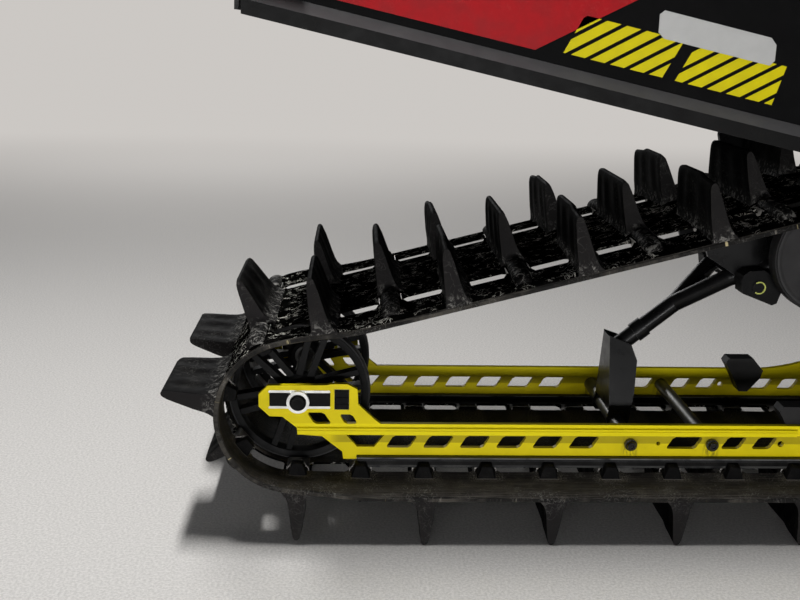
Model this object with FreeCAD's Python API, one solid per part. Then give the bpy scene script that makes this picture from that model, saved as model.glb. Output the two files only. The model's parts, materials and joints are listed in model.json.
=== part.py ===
"""Rear drive module of a mountain snowmobile: tunnel, lugged track and sliding-rail suspension.

Millimetres. +X is forward, +Y the vehicle's left and +Z up, with the floor at Z 0. Shapes are
drawn with X 0 at the rear axle; write() moves them so that the origin is under the module's middle.
Left-hand pieces are drawn and the right-hand ones mirrored from them.
"""
import FreeCAD, Part
import math
import os
from FreeCAD import Vector as V

os.makedirs("parts", exist_ok=True)

# ---- driving dimensions ------------------------------------------------------------------------
SEAT = 0.2              # clearance between pieces that seat on each other
RUN = 0.3               # clearance between the belt and what rolls or slides in it
FAR = 400.0             # length of a cutting tool that goes right through

# track
PITCH = 88.9            # distance between two bars
BAR_COUNT = 47          # bars in the loop
TRACK_W = 406.0
BELT_T = 6.0
LUG_H = 82.0
LUG_SINK = 2.0          # how far a lug is let into the belt
FIRST_BAR = 0.0         # place of bar 0 on the bottom run
WINDOW_L = 61.0         # belt windows, one in each gap of each row
WINDOW_W = 32.0
WINDOW_EDGE = 61.0      # from a window to the belt's edge
OUTER_LUG_EDGE = (3.0, 164.0)   # an outer lug's ends, from the belt's edge
CENTRE_LUG_EDGE = 108.0

# wheels and the belt's path; heights are above the belt's inner face on the bottom run
REAR_WHEEL_R = 101.6
REAR_WHEEL_W = 26.0
REAR_WHEEL_Y = 88.0
IDLER_R = 82.7
IDLER_W = 26.0
IDLER_Y = 118.0
IDLER_X = 738.0
IDLER_UP = 316.0
BEND_R = 350.0          # radius of the belt round the front of the rails
BEND_BACK = 440.0       # the bend's centre behind the drive axle
BEND_WHEEL_R = 68.0
BEND_WHEEL_W = 24.0
BEND_WHEEL_DEG = 10.0   # where on the bend the small wheels roll
DRIVE_UP = 312.0
TEETH = 8
TOOTH_H = 7.0
TOOTH_L = 24.0
SPROCKET_W = 28.0

# rails
RAIL_Y = 131.5          # middle of the rail's web
WEB_T = 8.0
RAIL_H = 46.7
RIDGE_X0 = -1.0         # ridge along the web's outer face, on over the rear plate
RIDGE_X1 = 713.0
RIDGE_OUT = 4.0
RIDGE_UP = (31.5, 41.0) # its lower and upper edge above the web's lower edge
GROOVE_UP = 37.5        # line along the ridge
GROOVE_W = 1.2
RISE_X0 = 760.0         # where the web starts to rise to its taller front plate
RISE_X1 = 880.0
RISE_SAG = 6.5
FRONT_PLATE_H = 80.0
NOSE_LEVEL = 35.0       # the front plate's level top ends this far behind the bend
NOSE_DEG = 28.0         # how far the rails follow the bend
CLIP_H = 7.3            # the track's clips, on which the sliders run, stand this far out of its inner face
SLIDER_H = 14.8
SLIDER_W = 26.0
SLIDER_X0 = 84.0

# shafts and fasteners
AXLE_R = 11.0
BOLT_R = 5.0
HEAD_R = 8.5
HEAD_H = 6.0
WASHER_R = 16.0
WASHER_T = 6.0
SHAFT_R = 11.0
MID_SHAFT_R = 10.0
DRIVE_R = 15.0
STUB_R = 12.7           # driven end of the drive axle
STUB_L = 45.0
PIN_R = 6.0
SHOCK_PIN_R = 8.0

# suspension
ARM_SHAFT_X = 473.0
MID_SHAFT_X = 590.8
LOW_SHAFT_UP = 18.7     # height of the shafts between the rails, above the web's lower edge
SHOCK_SHAFT_UP = 33.7
FRONT_SHAFT_UP = 49.7
FRONT_ARM_BACK = 90.0   # the front arm's lower shaft behind the bend's centre
SHOCK_SHAFT_BACK = 80.0 # the rear shock's lower shaft behind the front arm's
ARM_TUBE_R = 13.0
FORK_Y = 45.0           # the rear arm's tubes at their knees
BRACKET_T = 4.0
BRACKET_FOOT_Y = 50.0   # half the arm bracket's width at the shaft
BRACKET_LEAN = 13.5     # how far its sides lean together, in degrees
GUSSET_Y = 66.0
GUSSET_T = 6.0
BLOCK_W = 30.0
EAR_Y = 27.0
EAR_T = 6.0
FRONT_PIVOT_BACK = 235.0
FRONT_PIVOT_UP = 317.0

# tunnel; slopes are rise over run
TUNNEL_CLEAR = 15.0     # from the belt's edge to the tunnel's side
SHEET_T = 2.5
TAIL_X = -60.0
FRONT_REACH = 250.0     # from the drive axle to the tunnel's front end
EDGE_UP = 609.0         # lower edge's height at the rear axle
EDGE_SLOPE = -0.22
TUNNEL_H = 200.0        # the side's height at the rear axle
TOP_SLOPE = -0.139
EDGE_W = 20.0
EDGE_FACE_H = 18.0
EDGE_H = 32.0
EDGE_WALL = 3.0
BOARD_W = 110.0
BOARD_X0 = 900.0
BOARD_L = 790.0
BOARD_T = 12.0
RIM_W = 16.0
RIM_H = 30.0
BRACKET_SPREAD = 60.0
DROP_T = 9.0
COOLER_L = 840.0
COOLER_W = 76.0
COOLER_T = 14.0
FLAP_H = 190.0
FLAP_T = 5.0
BUMPER_R = 11.0
BUMPER_BACK = 110.0
BUMPER_CORNER = 60.0
LAMP_W = 190.0
LAMP_L = 76.0
LAMP_H = 40.0
BEARING_R = 52.0
BEARING_T = 15.0
BOLT_HOLE_R = 4.25      # bulkhead bolts, M8 clearance
BOLT_DX = 60.0
BOLT_DZ = 130.0
BOLT_EDGE = 20.0

# ---- places worked out from them ---------------------------------------------------------------
INNER_Z = LUG_H + BELT_T
AXLE_Z = INNER_Z + RUN + REAR_WHEEL_R
IDLER_Z = INNER_Z + IDLER_UP
DRIVE_Z = INNER_Z + DRIVE_UP
BEND_Z = INNER_Z + BEND_R
RAIL_Z = INNER_Z + CLIP_H + SLIDER_H + SEAT
RAIL_TOP = RAIL_Z + RAIL_H
PLATE_TOP = RAIL_Z + FRONT_PLATE_H
LOW_SHAFT_Z = RAIL_Z + LOW_SHAFT_UP
SPROCKET_R = TEETH * PITCH / (2 * math.pi)
BELT_Y = TRACK_W / 2
WINDOW_Y = BELT_Y - WINDOW_EDGE - WINDOW_W / 2
WEB_IN = RAIL_Y - WEB_T / 2
WEB_OUT = RAIL_Y + WEB_T / 2
TUNNEL_IN = BELT_Y + TUNNEL_CLEAR
TUNNEL_OUT = TUNNEL_IN + SHEET_T


def edge_z(x):
    """Height of the tunnel side's lower edge."""
    return INNER_Z + EDGE_UP + EDGE_SLOPE * x


def top_z(x):
    """Height of the tunnel side's upper edge."""
    return INNER_Z + EDGE_UP + TUNNEL_H + TOP_SLOPE * x


def roof_z(x):
    """Height of the roof's upper face."""
    return top_z(x) + SEAT + SHEET_T


# ---- helpers -----------------------------------------------------------------------------------
def outline(points):
    """Closed wire in the XZ plane. A point is (x, z), or (x, z, through x, through z) after an arc."""
    edges = []
    last = points[-1]
    for p in points:
        a, b = V(last[0], 0, last[1]), V(p[0], 0, p[1])
        if len(p) == 4:
            edges.append(Part.Arc(a, V(p[2], 0, p[3]), b).toShape())
        else:
            edges.append(Part.makeLine(a, b))
        last = p
    return Part.Wire(edges)


def plate(points, y0, y1):
    """Flat piece with the given outline in side view, from y0 to y1."""
    face = Part.Face(outline(points))
    face.translate(V(0, y0, 0))
    return face.extrude(V(0, y1 - y0, 0))


def about(x, z, points):
    """The same points, given relative to (x, z)."""
    return [(x + dx, z + dz) for dx, dz in points]


def box(x0, x1, y0, y1, z0, z1):
    return Part.makeBox(x1 - x0, y1 - y0, z1 - z0, V(x0, y0, z0))


def rod(a, b, r):
    a, b = V(*a), V(*b)
    return Part.makeCylinder(r, (b - a).Length, a, b - a)


def across(x, z, y0, y1, r):
    """Round bar along Y."""
    return Part.makeCylinder(r, y1 - y0, V(x, y0, z), V(0, 1, 0))


def ring(x, z, y0, y1, r, bore):
    return across(x, z, y0, y1, r).cut(across(x, z, y0, y1, bore))


def mirrored(shape):
    return shape.mirror(V(0, 0, 0), V(0, 1, 0))


def joined(shapes):
    return shapes[0].multiFuse(shapes[1:]).removeSplitter()


def frustum(sections):
    """Solid with flat sides through rectangles; each is height, low x, high x, low y, high y."""
    rings = [[V(x0, y0, z), V(x1, y0, z), V(x1, y1, z), V(x0, y1, z)] for z, x0, x1, y0, y1 in sections]
    faces = [rings[0], rings[-1]]
    for low, high in zip(rings, rings[1:]):
        faces += [[low[i], low[(i + 1) % 4], high[(i + 1) % 4], high[i]] for i in range(4)]
    shell = Part.makeShell([Part.Face(Part.makePolygon(f + f[:1])) for f in faces])
    return Part.makeSolid(shell)


# ---- the belt's path ---------------------------------------------------------------------------
def path_circles(drive_x):
    """Round stretches of the belt's inner face, going forward along the bottom: x, z, radius."""
    return ((0.0, AXLE_Z, REAR_WHEEL_R + RUN), (drive_x - BEND_BACK, BEND_Z, BEND_R),
            (drive_x, DRIVE_Z, SPROCKET_R), (IDLER_X, IDLER_Z, IDLER_R + RUN))


def path(circles):
    """The belt's inner face as stretches: kind, length, x, z, angle of its outward normal, radius.

    x and z are a line's start or an arc's centre. The first stretch is the bottom run.
    """
    pairs = list(zip(circles, circles[1:] + circles[:1]))
    normals, lengths = [], []
    for (ax, az, ar), (bx, bz, br) in pairs:
        reach = math.hypot(bx - ax, bz - az)
        normals.append(math.atan2(bz - az, bx - ax) - math.pi / 2 + math.asin((ar - br) / reach))
        lengths.append(math.sqrt(reach ** 2 - (ar - br) ** 2))
    stretches = []
    for i, ((ax, az, ar), (bx, bz, br)) in enumerate(pairs):
        n = normals[i]
        turn = (normals[(i + 1) % len(pairs)] - n) % (2 * math.pi)
        stretches.append(("line", lengths[i], ax + ar * math.cos(n), az + ar * math.sin(n), n, 0.0))
        stretches.append(("arc", br * turn, bx, bz, n, br))
    return stretches


def solve_drive_x():
    """Place of the drive axle at which the loop holds its whole number of bars."""
    low, high = IDLER_X + BEND_BACK, IDLER_X + PITCH * BAR_COUNT
    for _ in range(60):
        middle = (low + high) / 2
        if sum(stretch[1] for stretch in path(path_circles(middle))) < PITCH * BAR_COUNT:
            low = middle
        else:
            high = middle
    return low


DRIVE_X = solve_drive_x()
PATH = path(path_circles(DRIVE_X))
BEND_X = DRIVE_X - BEND_BACK
FRONT_X = DRIVE_X + FRONT_REACH
FRONT_ARM_X = BEND_X - FRONT_ARM_BACK
SHOCK_SHAFT_X = FRONT_ARM_X - SHOCK_SHAFT_BACK
FRONT_PIVOT_X = DRIVE_X - FRONT_PIVOT_BACK
FRONT_PIVOT_Z = INNER_Z + FRONT_PIVOT_UP


def place_on_path(s):
    """Placement with its Z pointing out of the belt and its X along it, at distance s."""
    s %= PITCH * BAR_COUNT
    for kind, length, x, z, n, r in PATH:
        if s <= length:
            break
        s -= length
    if kind == "line":
        x, z = x - math.sin(n) * s, z + math.cos(n) * s
    else:
        n += s / r
        x, z = x + r * math.cos(n), z + r * math.sin(n)
    turn = FreeCAD.Rotation(V(0, 1, 0), math.degrees(math.pi / 2 - n))
    return FreeCAD.Placement(V(x, 0, z), turn)


def path_face(offset):
    """Face inside the loop that lies the offset outside the belt's inner face."""
    points = []
    for kind, length, x, z, n, r in PATH:
        if kind == "line":
            x, z = x + offset * math.cos(n), z + offset * math.sin(n)
            points.append((x - math.sin(n) * length, z + math.cos(n) * length))
        else:
            reach = r + offset
            half, end = n + length / r / 2, n + length / r
            points.append((x + reach * math.cos(end), z + reach * math.sin(end),
                           x + reach * math.cos(half), z + reach * math.sin(half)))
    return Part.Face(outline(points))


def on_bend(r, degrees):
    """Point on a circle round the bend's centre, an angle forward of its lowest point."""
    a = math.radians(degrees)
    return BEND_X + r * math.sin(a), BEND_Z - r * math.cos(a)


# ---- track -------------------------------------------------------------------------------------
# lug sections: height above the belt, extent back and forward along it, inset at each end
LUG = ((-LUG_SINK, 14.0, 17.0, 0.0), (24.0, 8.5, 12.7, 3.0), (LUG_H, 4.0, 0.5, 8.0))
OUTER_LUG_OUT, OUTER_LUG_IN = (BELT_Y - edge for edge in OUTER_LUG_EDGE)
CENTRE_LUG_OUT = BELT_Y - CENTRE_LUG_EDGE


def lug(y0, y1):
    return frustum([(BELT_T + up, -ahead, back, y0 + inset, y1 - inset) for up, back, ahead, inset in LUG])


def track_belt():
    """Belt with two rows of windows. Outer pairs and centre lugs stand on its bars in turn."""
    belt = path_face(BELT_T).cut(path_face(0))
    belt.translate(V(0, -BELT_Y, 0))
    belt = belt.extrude(V(0, TRACK_W, 0))
    windows, lugs = [], []
    for bar in range(-(BAR_COUNT // 2), BAR_COUNT - BAR_COUNT // 2):
        gap = place_on_path(FIRST_BAR + PITCH * (bar + 0.5))
        seat = place_on_path(FIRST_BAR + PITCH * bar)
        on_bar = [lug(-CENTRE_LUG_OUT, CENTRE_LUG_OUT)]
        if bar % 2 == 0:
            on_bar = [lug(OUTER_LUG_IN, OUTER_LUG_OUT), lug(-OUTER_LUG_OUT, -OUTER_LUG_IN)]
        for side in (1, -1):
            corner = V(-WINDOW_L / 2, side * WINDOW_Y - WINDOW_W / 2, -2 * BELT_T)
            window = Part.makeBox(WINDOW_L, WINDOW_W, 5 * BELT_T, corner)
            window.Placement = gap
            windows.append(window)
        for piece in on_bar:
            piece.Placement = seat
            lugs.append(piece)
    return belt.cut(windows).multiFuse(lugs)


# ---- wheels ------------------------------------------------------------------------------------
def spoked_wheel(x, z, y):
    """Rear wheel: rim, hub, and a thin web with openings between its spokes."""
    r, half, bore = REAR_WHEEL_R, REAR_WHEEL_W / 2, AXLE_R + SEAT
    rim, hub, web = 12.0, bore + 14, 4.0
    wheel = joined([ring(x, z, y - half, y + half, r, r - rim), ring(x, z, y - half, y + half, hub, bore),
                    ring(x, z, y - web, y + web, r - rim / 2, hub - 2)])
    openings = []
    for i in range(12):
        middle = math.radians(30 * i + 15)
        # narrow openings in the spokes take turns with wide ones between them
        inner, outer, tip = (hub + 8, r - rim - 5, 0.10) if i % 2 else (hub + 6, r - rim - 9, 0.03)
        foot = 0.02 if i % 2 else 0.11
        corners = [(inner, -tip * 2), (outer, -tip - foot), (outer, tip + foot), (inner, tip * 2)]
        openings.append(plate([(x + reach * math.cos(middle + a), z + reach * math.sin(middle + a))
                               for reach, a in corners], y - half, y + half))
    return wheel.cut(openings)


def dished_wheel(x, z, y, r, width):
    """Smaller wheel with a closed disc between its rim and hub."""
    half, bore = width / 2, AXLE_R + SEAT
    return joined([ring(x, z, y - half, y + half, r, r - 8), ring(x, z, y - 5, y + 5, r - 4, bore + 6),
                   ring(x, z, y - half, y + half, bore + 13, bore)])


def drive_sprocket():
    """Left toothed wheel under the windows, each tooth standing in a window."""
    y0, y1 = WINDOW_Y - SPROCKET_W / 2, WINDOW_Y + SPROCKET_W / 2
    wrap_start = sum(stretch[1] for stretch in PATH[:3])
    gap = math.ceil((wrap_start - FIRST_BAR) / PITCH - 0.5) + 0.5
    first = PATH[3][4] + (FIRST_BAR + PITCH * gap - wrap_start) / SPROCKET_R
    teeth = []
    for i in range(TEETH):
        tooth = box(SPROCKET_R - TOOTH_H, SPROCKET_R + TOOTH_H, y0 + 4, y1 - 4, -TOOTH_L / 2, TOOTH_L / 2)
        tooth.rotate(V(0, 0, 0), V(0, 1, 0), -math.degrees(first + 2 * math.pi * i / TEETH))
        tooth.translate(V(DRIVE_X, 0, DRIVE_Z))
        teeth.append(tooth)
    return ring(DRIVE_X, DRIVE_Z, y0, y1, SPROCKET_R - RUN, DRIVE_R + SEAT).multiFuse(teeth)


# ---- rails -------------------------------------------------------------------------------------
# rear plate's outline: x and height above the web's lower edge, then x and height above the axle
PLATE_FOOT = ((82.5, -6.3), (63.5, -6.3), (62, 4.7), (33.5, 27.7), (8.5, 29.7), (-1.6, 35.2), (-2, 40.3))
PLATE_BACK = ((-22, -23), (-40, -22.4), (-55, -8), (-55, 10), (-42, 23), (40, 24), (46, 25.6),
              (69, 25.6), (83, 18), (84, -4), (107, -26))
# x from and to, height from and to above the axle
SLOT = (-40, 45, -7.2, 12.3)
SCREW_WINDOW = (50.6, 71.3, -12, 18)
# slanted openings: middle x, height above the web's lower edge, width, height, lean of the top
SLANTED = ((29.5, 54.7, 24, 17, -11), (70.5, 53.7, 18, 14, -8), (552, 20.2, 43, 18, 11),
           (623.6, 20.2, 27, 18, 11), (668, 20.2, 27, 18, 11), (762, 20.2, 27, 18, 11),
           (807, 20.2, 27, 18, 11))
HOLE_EASE = 3.0         # the slanted openings' corners
ROW = (146, 52.1, 6, 20.2, 34, 18, 11)      # first x, step, count, height, width, height, lean
FRONT_ROW = (884, 74, 3, 38, 42, 40, 20)
TAPERED = ((67.6, 30.2), (83, 12.3), (107.5, 12.3), (121.2, 30.2))
PIN_HOLES = ((514, 19.1, 3.0), (692, 19.1, 4.5))    # x, height above the web's lower edge, radius


def slanted(x, up, width, height, lean):
    """Cutting tool of a slanted opening with its corners taken off."""
    w, h, d, z = width / 2, height / 2, lean / 2, RAIL_Z + up
    corners = [V(x - w - d, 0, z - h), V(x + w - d, 0, z - h), V(x + w + d, 0, z + h), V(x - w + d, 0, z + h)]
    points = []
    for i, corner in enumerate(corners):
        for other in (corners[i - 1], corners[(i + 1) % 4]):
            eased = corner + (other - corner).normalize() * HOLE_EASE
            points.append((eased.x, eased.z))
    return plate(points, 0, FAR)


def row_of_slanted(first, step, count, up, width, height, lean):
    return [slanted(first + step * i, up, width, height, lean) for i in range(count)]


def between_rails():
    """x, z and tube radius of each cross shaft."""
    wheel_x, wheel_z = on_bend(BEND_R - RUN - BEND_WHEEL_R, BEND_WHEEL_DEG)
    return {"arm_shaft": (ARM_SHAFT_X, LOW_SHAFT_Z, SHAFT_R),
            "middle_shaft": (MID_SHAFT_X, LOW_SHAFT_Z, MID_SHAFT_R),
            "shock_shaft": (SHOCK_SHAFT_X, RAIL_Z + SHOCK_SHAFT_UP, SHAFT_R),
            "front_arm_shaft": (FRONT_ARM_X, RAIL_Z + FRONT_SHAFT_UP, SHAFT_R),
            "bend_wheel_shaft": (wheel_x, wheel_z, AXLE_R)}


def rail():
    """Left rail: web with its rear and front plates, and the ridge on its outer face."""
    under, over = BEND_Z - RAIL_Z, BEND_Z - PLATE_TOP
    low_nose = on_bend(under, NOSE_DEG) + on_bend(under, NOSE_DEG / 2)
    high_nose = on_bend(over + 12, NOSE_DEG) + on_bend((under + over) / 2, NOSE_DEG + 3)
    points = [(PLATE_FOOT[0][0], RAIL_Z), (BEND_X, RAIL_Z), low_nose, high_nose]
    points += [(BEND_X - NOSE_LEVEL, PLATE_TOP), (RISE_X1, PLATE_TOP)]
    points.append((RISE_X0, RAIL_TOP, (RISE_X0 + RISE_X1) / 2, (RAIL_TOP + PLATE_TOP) / 2 - RISE_SAG))
    points += [(PLATE_BACK[-1][0] + 9, RAIL_TOP)] + about(0, AXLE_Z, reversed(PLATE_BACK))
    points += about(0, RAIL_Z, reversed(PLATE_FOOT))
    low, high, edge = RAIL_Z + RIDGE_UP[0], RAIL_Z + RIDGE_UP[1], WEB_OUT + RIDGE_OUT
    ridge = [V(RIDGE_X0, y, z) for y, z in ((RAIL_Y, low), (edge, low), (edge, high), (WEB_OUT, high + 1),
                                            (RAIL_Y, high + 1))]
    ridge = Part.Face(Part.makePolygon(ridge + ridge[:1])).extrude(V(RIDGE_X1 - RIDGE_X0, 0, 0))
    groove = box(RIDGE_X0 - 1, RIDGE_X1 + 1, edge - GROOVE_W, FAR, RAIL_Z + GROOVE_UP,
                 RAIL_Z + GROOVE_UP + GROOVE_W)
    cuts = [box(x0, x1, 0, FAR, AXLE_Z + z0, AXLE_Z + z1) for x0, x1, z0, z1 in (SLOT, SCREW_WINDOW)]
    cuts += [slanted(*hole) for hole in SLANTED] + row_of_slanted(*ROW) + row_of_slanted(*FRONT_ROW)
    cuts.append(plate(about(0, RAIL_Z, TAPERED), 0, FAR))
    cuts += [across(x, RAIL_Z + up, 0, FAR, r) for x, up, r in PIN_HOLES]
    cuts += [across(x, z, 0, FAR, BOLT_R + SEAT) for x, z, r in between_rails().values()]
    return plate(points, WEB_IN, WEB_OUT).fuse(ridge).cut(cuts + [groove])


def slider():
    """Plastic shoe under the left rail, curved up at the front."""
    low, high = BEND_R - CLIP_H, BEND_Z - RAIL_Z + SEAT
    points = [(SLIDER_X0, INNER_Z + CLIP_H), (BEND_X, INNER_Z + CLIP_H),
              on_bend(low, NOSE_DEG) + on_bend(low, NOSE_DEG / 2), on_bend(high, NOSE_DEG),
              (BEND_X, RAIL_Z - SEAT) + on_bend(high, NOSE_DEG / 2), (SLIDER_X0, RAIL_Z - SEAT)]
    return plate(points, RAIL_Y - SLIDER_W / 2, RAIL_Y + SLIDER_W / 2)


def shaft_on_bolt(x, z, r, face):
    """Tube between the webs on a through bolt, whose heads bear on faces at y = face."""
    pieces = [across(x, z, -WEB_IN + SEAT, WEB_IN - SEAT, r)]
    pieces.append(across(x, z, -face - HEAD_H, face + HEAD_H, BOLT_R))
    pieces += [across(x, z, face, face + HEAD_H, HEAD_R), across(x, z, -face - HEAD_H, -face, HEAD_R)]
    return joined(pieces)


def axle_adjuster():
    """Left end of the axle: block and washer round its bolt, and the screw's nut in its window."""
    x0, x1, z0, z1 = SLOT
    block = box(-17, 17, WEB_IN, WEB_OUT + SEAT, AXLE_Z + z0 + SEAT, AXLE_Z + z1 - SEAT)
    washer = across(0, AXLE_Z, WEB_OUT + SEAT, WEB_OUT + SEAT + WASHER_T, WASHER_R)
    x0, x1, z0, z1 = SCREW_WINDOW
    nut = box(x0 + SEAT, x1 - SEAT, WEB_IN, WEB_OUT, AXLE_Z + z0 + SEAT, AXLE_Z + z1 - SEAT)
    return Part.makeCompound([joined([block, washer]).cut(across(0, AXLE_Z, 0, FAR, BOLT_R + SEAT)), nut])


# ---- suspension --------------------------------------------------------------------------------
# outlines relative to the arm shaft or the upper shaft
BRACKET = ((-14, -8), (-8, -16), (12, -17), (19, 2), (27, 42), (31, 93), (22, 117), (-11, 130), (-11, 14), (-14, 6))
BRACKET_BACK = (16.0, 124.0)    # from and to height of the plate across its back
ARM_FOOT = (8.0, 107.0)
ARM_JOINT = (-176.4, -101.4)
ARM_KNEE = (-112.0, -49.5)
COLLAR = (0.28, 0.46)   # share of the lowest tube that its collar covers
COLLAR_R = 15.5
CROSS_SHARE = 0.25      # place of the cross bar between a knee and the upper shaft
FORK_SLOT = (62.0, 84.0, 17.0)  # from and to distance above the joint, and half width
WEB_FROM, WEB_TO, FORK_WEB_T = 6.0, 106.0, 4.0
GUSSET = ((-155, -15), (-159, -3), (-136, 14), (-34, 26), (0, 22), (0, -5), (-62, -27), (-70, -62), (-100, -64),
          (-112, -42))
REAR_EAR = ((0, -14), (96, -46), (124, -32), (117, -6), (18, 24))
ROCKER = (104.0, -26.0)
BLOCK = ((-114, -43), (-112, -35), (-104, -29), (-83, -27), (-76, -31), (-53, -51), (-60, -75), (-67, -78),
         (-111, -61))
BLOCK_PIN = (-89.0, -51.0)
BUMP_STOP = ((-38, -1), (-49, 18), (-44, 26), (-4, 26), (14, 5), (11, -7), (-9, -31), (-23, -31))
FRONT_EAR = ((-50, -57), (-22, -59), (16, -9), (-12, 15), (-50, -31))
FRONT_SHOCK_TOP = (-36.0, -44.0)
BUMP_STOP_X = 738.0
BUMP_STOP_W = 26.0


def arm_bracket():
    """Bracket on the arm shaft: two sides that lean together and a back, with the arm's pin."""
    x, z = ARM_SHAFT_X, LOW_SHAFT_Z
    side = plate(about(x, z, BRACKET), BRACKET_FOOT_Y - BRACKET_T, BRACKET_FOOT_Y)
    side.rotate(V(x, BRACKET_FOOT_Y, z), V(1, 0, 0), BRACKET_LEAN)
    lean = math.tan(math.radians(BRACKET_LEAN))
    corners = [(y * (BRACKET_FOOT_Y - lean * up - 0.5), up) for y, up in
               ((-1, BRACKET_BACK[0]), (1, BRACKET_BACK[0]), (1, BRACKET_BACK[1]), (-1, BRACKET_BACK[1]))]
    loop = [V(x + BRACKET[-2][0], y, z + up) for y, up in corners]
    back = Part.Face(Part.makePolygon(loop + loop[:1])).extrude(V(BRACKET_T, 0, 0))
    reach = BRACKET_FOOT_Y - lean * ARM_FOOT[1] - BRACKET_T / 2
    pin = across(x + ARM_FOOT[0], z + ARM_FOOT[1], -reach, reach, PIN_R)
    return joined([side, mirrored(side), back]).cut(across(x, z, -FAR, FAR, SHAFT_R + SEAT)).fuse(pin)


def arm_stops():
    """Corners of the left rear arm's centre line: foot, joint, knee and upper shaft."""
    x, z = IDLER_X, IDLER_Z
    return (V(ARM_SHAFT_X + ARM_FOOT[0], 0, LOW_SHAFT_Z + ARM_FOOT[1]),
            V(x + ARM_JOINT[0], 0, z + ARM_JOINT[1]), V(x + ARM_KNEE[0], FORK_Y, z + ARM_KNEE[1]),
            V(x, IDLER_Y - IDLER_W / 2 - SEAT - ARM_TUBE_R, z))


def arm_tubes(r):
    """The left half of the rear arm's fork and its cross bar, with the given radius."""
    foot, joint, knee, top = arm_stops()
    bar = knee + (top - knee) * CROSS_SHARE
    return [rod(joint, knee, r), rod(knee, top, r), Part.makeSphere(r, joint), Part.makeSphere(r, knee),
            across(bar.x, bar.z, 0, bar.y, r)]


def fork_web():
    """Slotted plate between the fork's tubes."""
    foot, joint, knee, top = arm_stops()
    slope = V(knee.x - joint.x, 0, knee.z - joint.z)
    reach = slope.Length
    turn = FreeCAD.Rotation(V(1, 0, 0), slope)
    half, edge = FORK_WEB_T / 2, FORK_Y / reach
    corners = [V(WEB_FROM, -edge * WEB_FROM, -half), V(WEB_TO, -edge * WEB_TO, -half),
               V(WEB_TO, edge * WEB_TO, -half), V(WEB_FROM, edge * WEB_FROM, -half)]
    web = Part.Face(Part.makePolygon(corners + corners[:1])).extrude(V(0, 0, FORK_WEB_T))
    start, end, wide = FORK_SLOT
    web = web.cut(box(start, end, -wide, wide, -FORK_WEB_T, FORK_WEB_T))
    web.Placement = FreeCAD.Placement(joint, turn)
    return web


def rear_arm():
    """Forked arm from the lower bracket up to its pivot tube on the upper shaft."""
    x, z = IDLER_X, IDLER_Z
    foot, joint, knee, top = arm_stops()
    lean = math.tan(math.radians(BRACKET_LEAN))
    inside = BRACKET_FOOT_Y - lean * (ARM_FOOT[1] + ARM_TUBE_R) - BRACKET_T / 2 - BRACKET_T
    low, high = (foot + (joint - foot) * share for share in COLLAR)
    side = arm_tubes(ARM_TUBE_R)
    side.append(plate(about(x, z, GUSSET), GUSSET_Y - GUSSET_T / 2, GUSSET_Y + GUSSET_T / 2))
    side.append(plate(about(x, z, REAR_EAR), EAR_Y - EAR_T / 2, EAR_Y + EAR_T / 2))
    reach = IDLER_Y - IDLER_W / 2 - SEAT
    middle = [across(x, z, -reach, reach, AXLE_R + 12), rod(foot, joint, ARM_TUBE_R), fork_web(),
              across(foot.x, foot.z, -inside, inside, ARM_TUBE_R - 1), rod(low, high, COLLAR_R),
              across(x + ROCKER[0], z + ROCKER[1], -EAR_Y, EAR_Y, SHOCK_PIN_R)]
    pin = across(x + BLOCK_PIN[0], z + BLOCK_PIN[1], GUSSET_Y - GUSSET_T, FAR, PIN_R + SEAT)
    bores = [across(x, z, -FAR, FAR, AXLE_R + SEAT), across(foot.x, foot.z, -FAR, FAR, PIN_R + SEAT),
             pin, mirrored(pin)]
    return joined(middle + side + [mirrored(piece) for piece in side]).cut(bores)


def link_block():
    """Left block outside the arm's gusset, with its pin through the gusset."""
    x, z, face = IDLER_X, IDLER_Z, GUSSET_Y + GUSSET_T / 2 + SEAT
    block = plate(about(x, z, BLOCK), face, face + BLOCK_W).cut(arm_tubes(ARM_TUBE_R + SEAT))
    pin = across(x + BLOCK_PIN[0], z + BLOCK_PIN[1], GUSSET_Y - GUSSET_T, face + BLOCK_W, PIN_R)
    cap = across(x + BLOCK_PIN[0], z + BLOCK_PIN[1], face + BLOCK_W / 2, face + BLOCK_W + 2, PIN_R + 3)
    return joined([block, pin, cap])


def upper_shaft():
    end = BELT_Y + TUNNEL_CLEAR / 2 - DROP_T / 2 + DROP_T
    return across(IDLER_X, IDLER_Z, -end, end, AXLE_R)


def drop_bracket():
    """Left plate that carries the upper shaft's end inside the tunnel's side."""
    x, z, s = IDLER_X, IDLER_Z, BRACKET_SPREAD
    points = ((x - s, edge_z(x - s) + s), (x - s, edge_z(x - s) - 12), (x - 22, z - 22),
              (x + 22, z - 22, x, z - 34), (x + s, edge_z(x + s) - 12), (x + s, edge_z(x + s) + s))
    return plate(points, TUNNEL_IN - SEAT - DROP_T, TUNNEL_IN - SEAT).cut(across(x, z, 0, FAR, AXLE_R + SEAT))


def bump_stop():
    """Left rubber block on the rail's inner side."""
    return plate(about(BUMP_STOP_X, RAIL_TOP, BUMP_STOP), WEB_IN - BUMP_STOP_W, WEB_IN - SEAT)


def shock(low, high, low_r, sleeve_r):
    """Air shock between two pins: eyes, shaft, body and the wider sleeve round it."""
    a, b = V(low[0], 0, low[1]), V(high[0], 0, high[1])

    def at(share):
        return tuple(a + (b - a) * share)

    pieces = [across(*low, -15, 15, low_r + 9), across(*high, -15, 15, SHOCK_PIN_R + 10),
              rod(a, at(0.45), 8), rod(at(0.3), b, sleeve_r - 6), rod(at(0.4), at(0.82), sleeve_r)]
    return joined(pieces).cut([across(*low, -FAR, FAR, low_r + SEAT), across(*high, -FAR, FAR, SHOCK_PIN_R + SEAT)])


def rear_shock():
    low = between_rails()["shock_shaft"]
    return shock(low[:2], (IDLER_X + ROCKER[0], IDLER_Z + ROCKER[1]), low[2], 24)


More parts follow.
